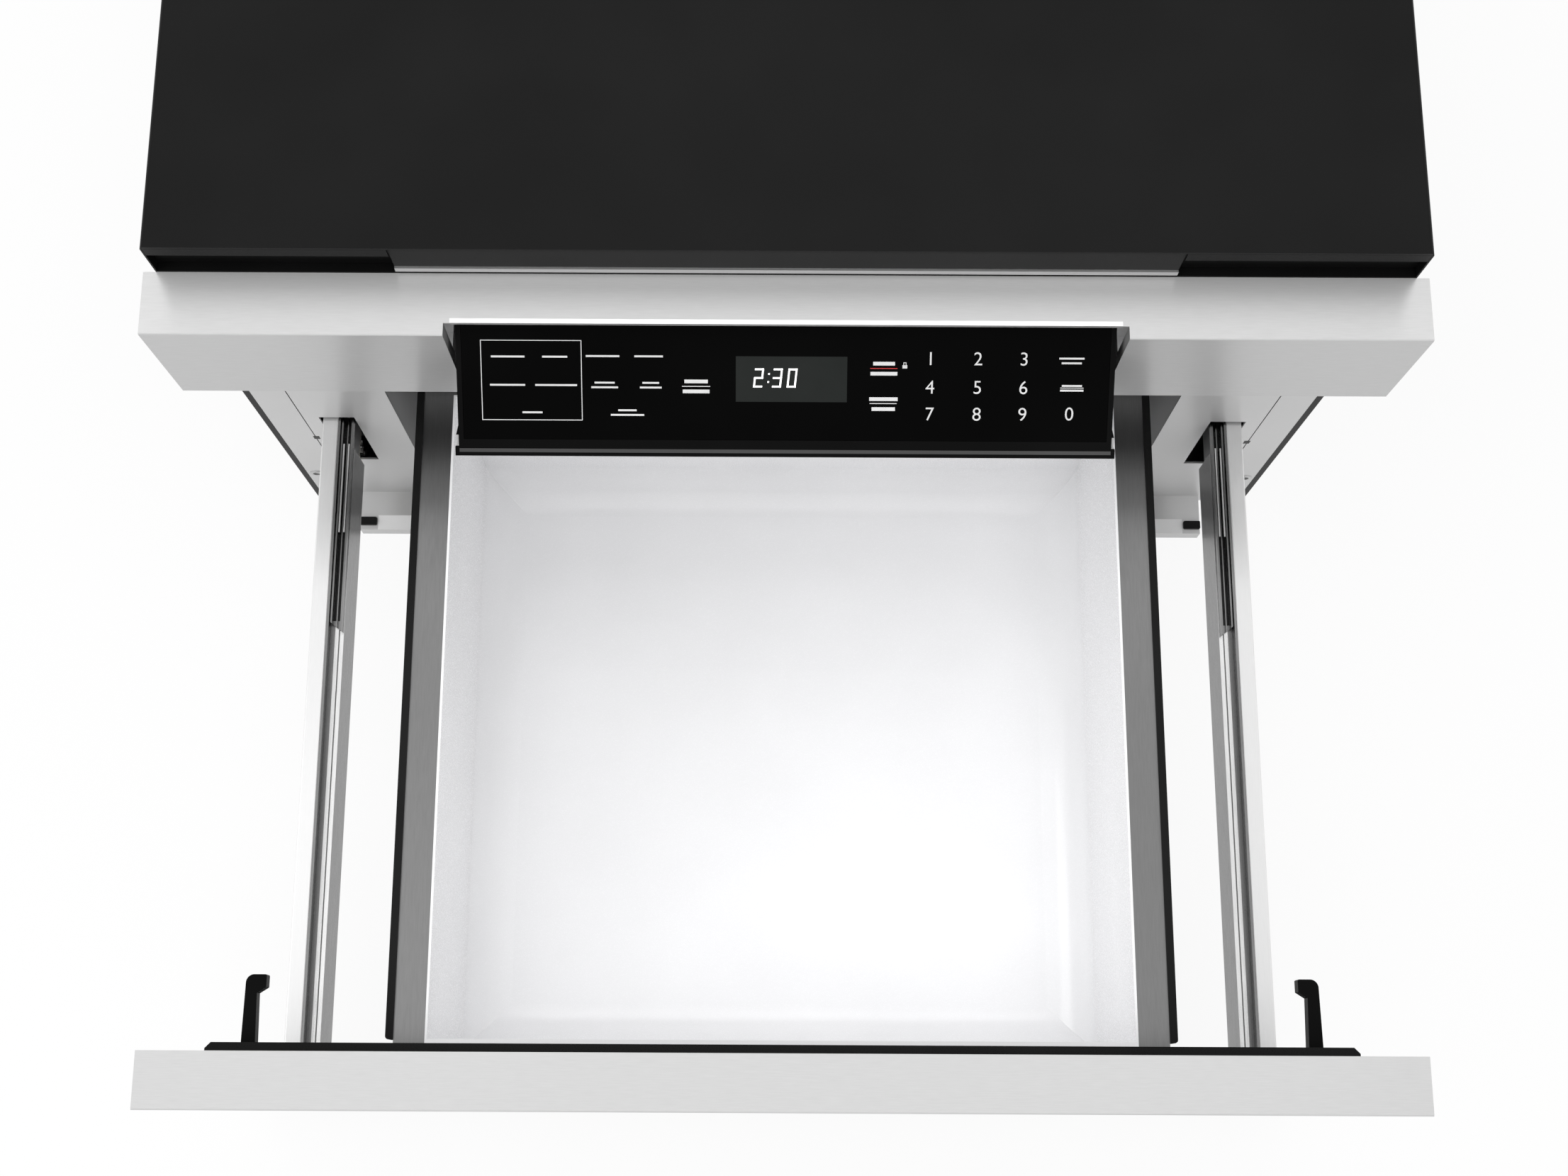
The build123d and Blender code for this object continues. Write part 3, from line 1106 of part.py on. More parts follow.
def panel_lip():
    """Rounded lip that covers the upper edge of the bright face."""
    low = FASCIA_TOP - LIP_HEIGHT
    tip_y, tip_z = glass_point(-LIP_REACH, 0)
    root_y, root_z = glass_point(LIP_HEIGHT, 0)
    outline = [(root_y, low), (root_y, root_z), (tip_y, tip_z), (tip_y, low)]
    lip = prism_x(outline, -FACE_HALF, FACE_HALF)
    return fillet(lip.edges().filter_by(Axis.X).sort_by(Axis.Y)[:2], LIP_HEIGHT / 3)


def panel_housing():
    """Dark housing that frames the glass; it is open behind, where the cover goes."""
    shell = prism_x(bezel_outline(), -BEZEL_HALF, BEZEL_HALF) + panel_lip()
    inner_half = BEZEL_HALF - BEZEL_WALL
    front = FACE_BACK + BEZEL_WALL
    top_front = (front, FASCIA_TOP - (TRIM_DEPTH + front) * math.tan(SLOPE) - BEZEL_WALL / math.cos(SLOPE))
    tail_top = glass_point(BEZEL_LENGTH - BEZEL_WALL, -BEZEL_WALL)
    tail_low = glass_point(BEZEL_LENGTH - BEZEL_WALL, -BEZEL_TAIL - 20)
    hollow = prism_x([top_front, tail_top, tail_low, (front, FACE_BOTTOM - 20)], -inner_half, inner_half)
    shell -= hollow
    shell -= glass_slab(GLASS_START, GLASS_END, -GLASS_THICK, 1, -GLASS_HALF - FIT, GLASS_HALF + FIT)
    shell -= glass_slab(GLASS_START + GLASS_SEAT, GLASS_END - GLASS_SEAT, -BEZEL_WALL - 1, 1,
                        -GLASS_HALF + GLASS_SEAT, GLASS_HALF - GLASS_SEAT)
    return shell


def panel_back_cover():
    """Flat cover that closes the housing from behind."""
    tail = glass_point(BEZEL_LENGTH - BEZEL_WALL - FIT, -BEZEL_TAIL)
    foot_y = FACE_BACK + BEZEL_WALL + FIT
    run_y = tail[0] - BEZEL_FOOT[0]
    run_z = tail[1] - BEZEL_FOOT[1]
    foot_z = BEZEL_FOOT[1] + (foot_y - BEZEL_FOOT[0]) * run_z / run_y
    half = BEZEL_HALF - BEZEL_WALL - FIT
    outline = [(foot_y, foot_z), tail, (tail[0], tail[1] + COVER_THICK), (foot_y, foot_z + COVER_THICK)]
    return prism_x(outline, -half, half)


def panel_glass():
    """Black touch glass."""
    return glass_slab(GLASS_START + FIT, GLASS_END - FIT, -GLASS_THICK, 0, -GLASS_HALF, GLASS_HALF)


def display_module():
    """Lit display and the key board behind the glass."""
    under = -GLASS_THICK - DISPLAY_THICK
    lit = glass_slab(DISPLAY_START, DISPLAY_END, under, -GLASS_THICK, DISPLAY_LEFT, DISPLAY_RIGHT)
    board = glass_slab(GLASS_START + 8, GLASS_END - 12, under - BOARD_THICK, under, -BOARD_HALF, BOARD_HALF)
    return lit + board


def panel_arms():
    """Two arms under the housing that turn on the hinge pins."""
    inner, outer = ARM_INNER, ARM_INNER + ARM_THICK
    run_y = glass_point(BEZEL_LENGTH - BEZEL_WALL, -BEZEL_TAIL)[0] - BEZEL_FOOT[0]
    run_z = glass_point(BEZEL_LENGTH - BEZEL_WALL, -BEZEL_TAIL)[1] - BEZEL_FOOT[1]
    rise = run_z / run_y

    def under_housing(y):
        return BEZEL_FOOT[1] + (y - BEZEL_FOOT[0]) * rise

    front_y = HINGE_Y - ARM_FRONT
    back_y = HINGE_Y + ARM_BACK
    outline = [(front_y, under_housing(front_y)), (HINGE_Y - HUB_RADIUS, HINGE_Z),
               (HINGE_Y + HUB_RADIUS, HINGE_Z), (back_y, under_housing(back_y))]
    arm = prism_x(outline, inner, outer) + rod_x(HUB_RADIUS, inner, outer + ARM_HUB, HINGE_Y, HINGE_Z)
    arm -= prism_x([(front_y - 30, under_housing(front_y - 30)), (back_y + 30, under_housing(back_y + 30)),
                    (back_y + 30, CASE_TOP), (front_y - 30, CASE_TOP)], inner - 1, outer + 2 * ARM_HUB)
    arm -= rod_x(PIN_RADIUS + PIN_PLAY, inner - 1, outer + 2 * ARM_HUB, HINGE_Y, HINGE_Z)
    return [arm, mirrored(arm)]


SECTOR_PITCH_R = SECTOR_TEETH * DAMPER_MODULE / 2
DAMPER_PITCH_R = DAMPER_TEETH * DAMPER_MODULE / 2
DAMPER_Y = HINGE_Y + SECTOR_PITCH_R + DAMPER_PITCH_R
SECTOR_OUTER = ARM_INNER
SECTOR_INNER = SECTOR_OUTER - SECTOR_THICK


def panel_sector():
    """Toothed sector on the right arm, in mesh with the damper; drawn with the panel open."""
    step = 360.0 / SECTOR_TEETH
    first = int(math.floor(SECTOR_FROM / step))
    last = int(math.ceil(SECTOR_TO / step))
    rim = gear_outline(SECTOR_TEETH, DAMPER_MODULE, first, last, step / 2)
    outline = [(HINGE_Y + y, HINGE_Z + z) for y, z in rim]
    a0 = math.radians(first * step + step / 2)
    a1 = math.radians(last * step + step / 2)
    hub = HUB_RADIUS
    outline.append((HINGE_Y + hub * math.cos(a1 + 0.5), HINGE_Z + hub * math.sin(a1 + 0.5)))
    outline.append((HINGE_Y + hub * math.cos(a0 - 0.5), HINGE_Z + hub * math.sin(a0 - 0.5)))
    sector = prism_x(outline, SECTOR_INNER, SECTOR_OUTER)
    sector += rod_x(HUB_RADIUS, SECTOR_INNER, SECTOR_OUTER, HINGE_Y, HINGE_Z)
    return sector - rod_x(PIN_RADIUS + PIN_PLAY, SECTOR_INNER - 1, SECTOR_OUTER + 1, HINGE_Y, HINGE_Z)


def damper_pinion():
    """Small pinion of the rotary damper."""
    outline = [(DAMPER_Y + y, HINGE_Z + z)
               for y, z in gear_outline(DAMPER_TEETH, DAMPER_MODULE, 0, DAMPER_TEETH, 180.0)]
    wheel = prism_x(outline, SECTOR_INNER, SECTOR_OUTER)
    return wheel + rod_x(SHAFT_RADIUS, SECTOR_INNER - 8, SECTOR_OUTER, DAMPER_Y, HINGE_Z)


def rotary_damper():
    """Damper that slows the control panel, on a foot in the recess."""
    face = SECTOR_INNER - RUN
    body = rod_x(DAMPER_RADIUS, face - 10, face, DAMPER_Y, HINGE_Z)
    body += box(face - 10, face, DAMPER_Y - 7, DAMPER_Y + 7, RECESS_FLOOR, HINGE_Z)
    return body - rod_x(SHAFT_RADIUS + PIN_PLAY, face - 9, face + 1, DAMPER_Y, HINGE_Z)


def case_screws():
    """Screws through the sides of the wrapper into the base pan."""
    screws = []
    for y in CASE_SCREW_Y:
        screw = rod_x(SCREW_HEAD_RADIUS, CASE_HALF, CASE_HALF + SCREW_HEAD, y, CASE_SCREW_Z)
        screw = fillet(screw.edges().sort_by(Axis.X)[-1], SCREW_HEAD * 0.6)
        screw += rod_x(SCREW_RADIUS, CASE_HALF - SCREW_LENGTH, CASE_HALF, y, CASE_SCREW_Z)
        screws += [screw, mirrored(screw)]
    return screws


os.makedirs("parts", exist_ok=True)

save("outer_case", outer_case())
save("rear_panel", rear_panel())
save("cord_gland", cord_gland())
save("base_pan", base_pan())
save("base_sill", base_sill())
group("sill_end_caps", sill_end_caps())
save("front_frame", front_frame())
group("frame_side_strips", frame_side_strips())
save("fascia_trim", fascia_trim())
save("upper_closure", upper_closure())
save("vent_strip", vent_strip())
save("air_duct", air_duct())
save("control_recess", control_recess())
group("panel_hinge_brackets", panel_hinge_brackets())
save("cavity_shell", cavity_shell())
save("stirrer_cover", stirrer_cover())
save("waveguide", waveguide())
save("magnetron", magnetron())
save("stirrer_motor", stirrer_motor())
save("stirrer_blade", stirrer_blade())
save("hv_transformer", hv_transformer())
save("hv_capacitor", hv_capacitor())
save("hv_diode", hv_diode())
save("cooling_fan_housing", cooling_fan_housing())
save("cooling_fan_motor", cooling_fan_motor())
save("cooling_fan_blade", cooling_fan_blade())
save("power_board", power_board())
save("oven_lamp", oven_lamp())
group("interlock_switches", interlock_switches())
save("fixed_rail_right", fixed_rail_right())
save("fixed_rail_left", mirrored(fixed_rail_right()))
save("intermediate_rail_right", intermediate_rail_right())
save("intermediate_rail_left", mirrored(intermediate_rail_right()))
save("drawer_rail_right", drawer_rail_right())
save("drawer_rail_left", mirrored(drawer_rail_right()))
save("support_bar_right", support_bar_right())
save("support_bar_left", mirrored(support_bar_right()))
save("drive_rack", drive_rack())
save("drive_pinion", drive_pinion())
save("drawer_motor", drawer_motor())
save("door_skin", door_skin())
save("door_back_panel", door_back_panel())
save("door_choke_channel", door_choke_channel())
save("door_inner_plate", door_inner_plate())
group("door_screws", door_screws())
save("latch_hook_right", latch_hook_right())
save("latch_hook_left", mirrored(latch_hook_right()))
save("drawer_tub", drawer_tub())
save("rim_flange", rim_flange())
save("rim_gasket", rim_gasket())
save("panel_face", tilted_out(panel_face()))
save("panel_housing", tilted_out(panel_housing()))
save("panel_back_cover", tilted_out(panel_back_cover()))
save("panel_glass", tilted_out(panel_glass()))
save("display_module", tilted_out(display_module()))
group("panel_arms", [tilted_out(arm) for arm in panel_arms()])
save("panel_sector", panel_sector())
save("damper_pinion", damper_pinion())
save("rotary_damper", rotary_damper())
group("case_screws", case_screws())
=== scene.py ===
import json
import math

import bmesh
import bpy
from mathutils import Matrix, Vector


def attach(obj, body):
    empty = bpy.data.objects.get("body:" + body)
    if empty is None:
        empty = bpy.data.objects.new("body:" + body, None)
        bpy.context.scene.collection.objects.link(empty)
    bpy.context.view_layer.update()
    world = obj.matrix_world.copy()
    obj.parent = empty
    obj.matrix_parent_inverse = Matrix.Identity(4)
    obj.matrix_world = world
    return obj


# Looks of the microwave drawer, in the frame of the CAD model: X to the right, Y back into the
# cabinet, Z up, the base's underside at Z = 0. Blender counts in metres; the blocks and the
# marks on the glass are written in millimetres.

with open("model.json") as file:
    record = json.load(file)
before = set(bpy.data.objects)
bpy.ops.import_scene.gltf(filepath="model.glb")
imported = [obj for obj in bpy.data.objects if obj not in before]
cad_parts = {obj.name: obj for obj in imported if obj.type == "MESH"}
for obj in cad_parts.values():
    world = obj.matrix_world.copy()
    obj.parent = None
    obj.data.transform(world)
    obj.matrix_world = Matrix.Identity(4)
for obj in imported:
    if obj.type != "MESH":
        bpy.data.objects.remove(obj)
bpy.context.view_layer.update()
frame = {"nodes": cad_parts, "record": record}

MM = 0.001
WORLD_AXES = Matrix.Identity(4)

# ---------------------------------------------------------------- control panel, as in the CAD

HINGE_Y = -15.5 * MM
HINGE_Z = 368.6 * MM
LIP_Y = -39.3 * MM                     # the panel's lip and the glass's slope, when it is shut
LIP_Z = 450.0 * MM
GLASS_SLOPE = math.radians(23.0)
PANEL_OPEN = math.radians(52.0)        # from shut to tilted out, which is its rest pose


def glass_point(x, along, out):
    """A point of the tilted-out panel: across, along the glass from its lip, and out of it."""
    y = LIP_Y + along * math.cos(GLASS_SLOPE) + out * math.sin(GLASS_SLOPE) - HINGE_Y
    z = LIP_Z - along * math.sin(GLASS_SLOPE) + out * math.cos(GLASS_SLOPE) - HINGE_Z
    turned_y = y * math.cos(PANEL_OPEN) - z * math.sin(PANEL_OPEN)
    turned_z = y * math.sin(PANEL_OPEN) + z * math.cos(PANEL_OPEN)
    return Vector((x, HINGE_Y + turned_y, HINGE_Z + turned_z))


GLASS_ORIGIN = glass_point(0.0, 0.0, 0.0)
GLASS_UP = (glass_point(0.0, 1.0, 0.0) - GLASS_ORIGIN).normalized()
GLASS_OUT = (glass_point(0.0, 0.0, 1.0) - GLASS_ORIGIN).normalized()
GLASS_AXES = Matrix((
    (1.0, GLASS_UP.x, GLASS_OUT.x, GLASS_ORIGIN.x),
    (0.0, GLASS_UP.y, GLASS_OUT.y, GLASS_ORIGIN.y),
    (0.0, GLASS_UP.z, GLASS_OUT.z, GLASS_ORIGIN.z),
    (0.0, 0.0, 0.0, 1.0)))
# The axes of pieces that are written as they lie when the panel is shut.
SHUT_PANEL_AXES = (Matrix.Translation((0.0, HINGE_Y, HINGE_Z))
                   @ Matrix.Rotation(PANEL_OPEN, 4, "X")
                   @ Matrix.Translation((0.0, -HINGE_Y, -HINGE_Z)))

# ---------------------------------------------------------------- materials

MATERIALS = {}
GRAIN_ALONG_X = (12.0, 0.7, 0.7)       # millimetres along X, Y and Z
GRAIN_ALONG_Y = (0.7, 12.0, 0.7)
BRUSH_DEPTH_MM = 0.002
NOISE_LOW = 0.3                        # noise up to here has a material's first tone
NOISE_HIGH = 0.7                       # and from here on its second


def new_material(name):
    """Start a material in MATERIALS: its node tree, shader and the object's own coordinates."""
    material = bpy.data.materials.new(name)
    material.use_nodes = True
    MATERIALS[name] = material
    tree = material.node_tree
    return tree, tree.nodes["Principled BSDF"], tree.nodes.new("ShaderNodeTexCoord")


def stretched_noise(tree, coords, size_mm, detail=3.0):
    """Noise whose grain has the given size in millimetres along X, Y and Z."""
    mapping = tree.nodes.new("ShaderNodeMapping")
    mapping.inputs["Scale"].default_value = [1.0 / (size * MM) for size in size_mm]
    tree.links.new(coords.outputs["Object"], mapping.inputs["Vector"])
    noise = tree.nodes.new("ShaderNodeTexNoise")
    noise.inputs["Scale"].default_value = 1.0
    noise.inputs["Detail"].default_value = detail
    tree.links.new(mapping.outputs["Vector"], noise.inputs["Vector"])
    return noise.outputs["Fac"]


def rgba(tone):
    """A grey level or a colour, as the four numbers of a ramp's stop."""
    return (*tone, 1.0) if isinstance(tone, tuple) else (tone, tone, tone, 1.0)


def ramp(tree, source, low, high):
    """Map a noise to a range of grey levels or colours."""
    node = tree.nodes.new("ShaderNodeValToRGB")
    stops = node.color_ramp.elements
    stops[0].position = NOISE_LOW
    stops[1].position = NOISE_HIGH
    stops[0].color = rgba(low)
    stops[1].color = rgba(high)
    tree.links.new(source, node.inputs["Fac"])
    return node.outputs["Color"]


def add_bump(tree, shader, source, strength, depth_mm):
    """Raise the surface by a noise."""
    bump = tree.nodes.new("ShaderNodeBump")
    bump.inputs["Strength"].default_value = strength
    bump.inputs["Distance"].default_value = depth_mm * MM
    tree.links.new(source, bump.inputs["Height"])
    tree.links.new(bump.outputs["Normal"], shader.inputs["Normal"])


def brushed_steel(name, grain_mm, tone, spread, rough, rough_spread=0.02, strength=0.2,
                  metallic=1.0, along=None, drawn=0.85):
    """Brushed metal: fine grain, and a sheen drawn out across it where it runs along X or Y."""
    tree, shader, coords = new_material(name)
    grain = stretched_noise(tree, coords, grain_mm, detail=4.0)
    tree.links.new(ramp(tree, grain, tone - spread, tone + spread), shader.inputs["Base Color"])
    tree.links.new(ramp(tree, grain, rough + rough_spread, rough - rough_spread),
                   shader.inputs["Roughness"])
    add_bump(tree, shader, grain, strength, BRUSH_DEPTH_MM)
    shader.inputs["Metallic"].default_value = metallic
    if along:
        tangent = tree.nodes.new("ShaderNodeTangent")
        tangent.direction_type = "RADIAL"
        tangent.axis = along
        tree.links.new(tangent.outputs["Tangent"], shader.inputs["Tangent"])
        shader.inputs["Anisotropic"].default_value = drawn


def coated(name, low, high, rough, rough_spread=0.05, grain_mm=0.6, depth_mm=0.01, strength=0.2,
           specular=0.5, cloud_mm=90.0, metallic=0.0, coat=0.0):
    """Paint, enamel, plastic or rubber: slow tone variation with a fine orange-peel surface."""
    tree, shader, coords = new_material(name)
    cloud = stretched_noise(tree, coords, (cloud_mm, cloud_mm, cloud_mm), detail=2.0)
    fine = stretched_noise(tree, coords, (grain_mm, grain_mm, grain_mm), detail=2.0)
    tree.links.new(ramp(tree, cloud, low, high), shader.inputs["Base Color"])
    tree.links.new(ramp(tree, fine, rough - rough_spread, rough + rough_spread),
                   shader.inputs["Roughness"])
    add_bump(tree, shader, fine, strength, depth_mm)
    shader.inputs["Specular IOR Level"].default_value = specular
    shader.inputs["Metallic"].default_value = metallic
    shader.inputs["Coat Weight"].default_value = coat


def glowing(name, colour, strength):
    """A lit segment behind glass, slightly uneven."""
    tree, shader, coords = new_material(name)
    cloud = stretched_noise(tree, coords, (2.0, 2.0, 2.0))
    dimmed = tuple(channel * 0.9 for channel in colour)
    tree.links.new(ramp(tree, cloud, dimmed, colour), shader.inputs["Emission Color"])
    tree.links.new(ramp(tree, cloud, dimmed, colour), shader.inputs["Base Color"])
    shader.inputs["Emission Strength"].default_value = strength


# The CAD's material slots.
coated("case_black", 0.0035, 0.0055, 0.42, grain_mm=0.5, strength=0.25, specular=0.10)
brushed_steel("brushed_front", GRAIN_ALONG_X, 0.60, 0.015, 0.36, strength=0.03, metallic=0.6,
              along="X", drawn=0.95)
brushed_steel("frame_grey", GRAIN_ALONG_X, 0.64, 0.005, 0.36, rough_spread=0.01, strength=0.0,
              metallic=0.6, along="X", drawn=0.95)
coated("zinc_sheet", 0.46, 0.53, 0.36, cloud_mm=14.0, metallic=1.0)
coated("vent_grey", 0.026, 0.032, 0.5, specular=0.04)
coated("dark_plastic", 0.0025, 0.004, 0.38, grain_mm=0.4, strength=0.25, specular=0.04)
coated("gasket_black", 0.005, 0.008, 0.5, grain_mm=0.5, specular=0.12)
coated("black_plate", 0.003, 0.005, 0.3, specular=0.10)
coated("tub_white", (0.925, 0.925, 0.935), (0.955, 0.955, 0.965), 0.25, depth_mm=0.004, coat=0.3)
brushed_steel("rim_grey", GRAIN_ALONG_Y, 0.22, 0.01, 0.38, strength=0.05, along="Y")
brushed_steel("bar_white", GRAIN_ALONG_Y, 0.80, 0.01, 0.30, strength=0.03, metallic=0.5,
              along="Y")
brushed_steel("rail_zinc", GRAIN_ALONG_Y, 0.24, 0.015, 0.26, strength=0.05, along="Y")
coated("black_glass", 0.0006, 0.0012, 0.05, rough_spread=0.01, strength=0.0, specular=0.03)
coated("display", (0.03, 0.05, 0.04), (0.04, 0.06, 0.05), 0.4, cloud_mm=10.0)
coated("nylon", (0.70, 0.68, 0.62), (0.75, 0.73, 0.67), 0.45)
brushed_steel("gear_steel", (0.6, 0.6, 0.6), 0.45, 0.05, 0.3)
coated("copper_iron", (0.10, 0.07, 0.05), (0.20, 0.11, 0.06), 0.45, cloud_mm=25.0, metallic=0.5)
brushed_steel("aluminium", (0.8, 0.8, 0.8), 0.68, 0.04, 0.34)
coated("board_green", (0.02, 0.12, 0.05), (0.03, 0.16, 0.07), 0.35, cloud_mm=8.0)

# The materials that only the scene has.
coated("print_white", 0.62, 0.68, 0.5, grain_mm=0.3, cloud_mm=6.0)
coated("print_red", (0.45, 0.02, 0.02), (0.55, 0.03, 0.03), 0.5, grain_mm=0.3, cloud_mm=6.0)
coated("window_grey", (0.013, 0.015, 0.014), (0.016, 0.018, 0.017), 0.10, strength=0.0,
       specular=0.1, cloud_mm=30.0)
coated("cavity_enamel", 0.62, 0.66, 0.35)
# Painted highlights along edges.
brushed_steel("painted_edge_highlight", GRAIN_ALONG_X, 0.80, 0.03, 0.30, along="X")
# Steel of the ball cages, and the painted highlights along the slide rails.
brushed_steel("cage_steel_and_rail_highlight", GRAIN_ALONG_Y, 0.80, 0.04, 0.25, along="Y")
coated("lip_band", 0.050, 0.065, 0.35, specular=0.3, metallic=0.3)
# Painted shade in the slides.
coated("painted_slide_shade", 0.004, 0.010, 0.25, grain_mm=1.5, cloud_mm=12.0, specular=0.2)
# Painted light on the sill's top front edge.
coated("painted_sill_highlight", 0.84, 0.88, 0.4)
glowing("segment_light", (1.0, 1.0, 1.0), 0.9)

OTHER_MATERIAL = {"cavity_shell": "cavity_enamel"}     # in place of the slot's own

for part in frame["record"]["subparts"]:
    slots = frame["nodes"][part["node"]].data.materials
    for index in range(len(slots)):
        slots[index] = MATERIALS[OTHER_MATERIAL.get(part["node"], part["material_slot"])]

# ---------------------------------------------------------------- helpers for new pieces


def finish_piece(name, mesh, material, body):
    """Put a mesh into the scene as a piece that rides on a body."""
    piece = bpy.data.objects.new(name, mesh)
    bpy.context.scene.collection.objects.link(piece)
    piece.data.materials.append(MATERIALS[material])
    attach(piece, body)
    return piece


def mesh_of(name, shape):
    """The mesh of a finished bmesh, which is freed."""
    mesh = bpy.data.meshes.new(name)
    shape.to_mesh(mesh)
    shape.free()
    return mesh


def blocks_piece(name, blocks, material, body, axes=WORLD_AXES):
    """A piece made of closed blocks: each is two opposite corners in millimetres."""
    shape = bmesh.new()
    for corners in blocks:
        low, high = ([value * MM for value in corner] for corner in corners)
        size = [high[i] - low[i] for i in range(3)]
        middle = [(high[i] + low[i]) / 2 for i in range(3)]
        place = axes @ Matrix.Translation(middle) @ Matrix.Diagonal((*size, 1.0))
        bmesh.ops.create_cube(shape, size=1.0, matrix=place)
    return finish_piece(name, mesh_of(name, shape), material, body)


def mirrored(blocks):
    """The same blocks on the other side of the middle plane."""
    return [((-x1, y0, z0), (-x0, y1, z1)) for (x0, y0, z0), (x1, y1, z1) in blocks]


def paired_pieces(name, blocks, material, body):
    """A left and a right piece. The blocks are the right one's; {} in the body is the side."""
    for side, placed in (("left", mirrored(blocks)), ("right", blocks)):
        blocks_piece(f"{name}_{side}", placed, material, body.format(side))


# ---------------------------------------------------------------- marks on the glass

PRINT_LIFT = 0.03                      # clear of the glass, so that they don't flicker
PRINT_THICK = 0.05

NUMERAL_HEIGHT = 8.0
NUMERAL_SHARE = 0.7                    # of the font's size that a numeral is high
NUMERAL_THINNING = 0.05
NUMERAL_PLACES = {
    "1": (86.3, 57.5), "2": (114.6, 57.5), "3": (142.0, 57.5),
    "4": (86.3, 40.4), "5": (114.6, 40.4), "6": (142.0, 40.4),
    "7": (86.3, 24.2), "8": (114.6, 24.2), "9": (142.0, 24.2),
    "0": (170.0, 24.6),
}


def printed(name, marks, material):
    """Flat marks on the glass: each is its left, start, right and end, across and along it."""
    blocks = [((left, start, PRINT_LIFT), (right, end, PRINT_LIFT + PRINT_THICK))
              for left, start, right, end in marks]
    return blocks_piece(name, blocks, material, "control_panel", GLASS_AXES)


def number_key(digit, x, along):
    """A printed numeral, as a thin solid on the glass."""
    name = "key_number_" + digit
    curve = bpy.data.curves.new(name, "FONT")
    curve.body = digit
    curve.size = NUMERAL_HEIGHT * MM / NUMERAL_SHARE
    curve.align_x = "CENTER"
    curve.align_y = "CENTER"
    curve.extrude = PRINT_THICK * MM / 2
    curve.offset = -NUMERAL_THINNING * MM
    text = bpy.data.objects.new("scratch_text", curve)
    bpy.context.scene.collection.objects.link(text)
    depsgraph = bpy.context.evaluated_depsgraph_get()
    mesh = bpy.data.meshes.new_from_object(text.evaluated_get(depsgraph))
    mesh.materials.clear()
    bpy.data.objects.remove(text)
    middle = (x * MM, along * MM, (PRINT_LIFT + PRINT_THICK / 2) * MM)
    mesh.transform(GLASS_AXES @ Matrix.Translation(middle))
    finish_piece(name, mesh, "print_white", "control_panel")


for digit, (x, along) in NUMERAL_PLACES.items():
    number_key(digit, x, along)


def label_bars(labels, height, pitch):
    """Bars in place of words. A label is its middle and its bars' widths from the top down."""
    marks = []
    for x, along, widths in labels:
        for row, width in enumerate(widths):
            middle = along - (row - (len(widths) - 1) / 2) * pitch
            marks.append((x - width / 2, middle - height / 2, x + width / 2, middle + height / 2))
    return marks


def outline(x0, s0, x1, s1, line):
    """Four strips round a box."""
    return [(x0, s0, x1, s0 + line), (x0, s1 - line, x1, s1),
            (x0, s0 + line, x0 + line, s1 - line), (x1 - line, s0 + line, x1, s1 - line)]


def rules(*lines):
    """Thin lines across: each is its left end, its place along the glass and its right end."""
    return [(left, start, right, start + THIN_LINE) for left, start, right in lines]


THIN_LINE = 0.45
SENSOR_BOX = (-181.7, 19.7, -121.5, 67.9)
SMALL_BAR, SMALL_PITCH = 1.1, 2.8
SMALL_LABELS = (
    (-165.5, 58.0, (20.0,)), (-137.5, 58.0, (15.0,)), (-166.0, 41.0, (21.0,)),
    (-137.0, 41.0, (25.0,)), (-151.5, 24.5, (12.0,)), (-109.0, 58.5, (20.0,)),
    (-81.6, 58.5, (17.0,)), (-108.0, 41.2, (12.0, 16.0)), (-80.5, 41.2, (10.0, 13.0)),
    (-94.6, 24.6, (11.0, 20.0)), (170.3, 57.0, (15.0, 12.0)), (171.0, 40.6, (12.0, 14.0)))
LARGE_BAR, LARGE_PITCH = 2.2, 6.0
LARGE_LABELS = (
    (-53.4, 40.6, (14.0, 16.0)), (58.6, 51.8, (13.0, 16.0)), (58.6, 30.5, (17.0, 14.0)))
LOCK_BODY = (69.6, 52.0, 72.4, 54.0)
LOCK_BOW = (70.1, 53.4, 71.9, 55.6)
LOCK_LINE = 0.4

printed("sensor_key_frame", outline(*SENSOR_BOX, THIN_LINE), "print_white")
printed("small_key_labels", label_bars(SMALL_LABELS, SMALL_BAR, SMALL_PITCH), "print_white")
printed("large_key_labels", label_bars(LARGE_LABELS, LARGE_BAR, LARGE_PITCH), "print_white")
printed("key_divider", rules((-61.8, 40.4, -45.0), (50.4, 30.6, 66.6), (164.0, 40.5, 178.0)),
        "print_white")
printed("stop_key_line", rules((50.4, 51.7, 66.6)), "print_red")
printed("lock_sign", [LOCK_BODY] + outline(*LOCK_BOW, LOCK_LINE), "print_white")

# ---------------------------------------------------------------- band on the lip, and the display

LIP_BAND = (-196.0, 0.2, 196.0, 2.4)
WINDOW = (-29.7, 31.5, 36.7, 58.8)
printed("panel_lip_band", [LIP_BAND], "lip_band")
printed("display_window", [WINDOW], "window_grey")

SEGMENTS = {"2": "abged", "3": "abgcd", "0": "abcdef"}
CLOCK_DIGITS = (("2", -19.4), ("3", -8.2), ("0", 0.6))         # and their left edges
CLOCK_WIDTH = 5.4
CLOCK_HEIGHT = 11.4
CLOCK_BASE = 40.2
CLOCK_LINE = 1.05
CLOCK_SLANT = 0.10
COLON_LEFT = -11.2
COLON_DOT = 1.0
COLON_RISES = (2.8, 7.6)


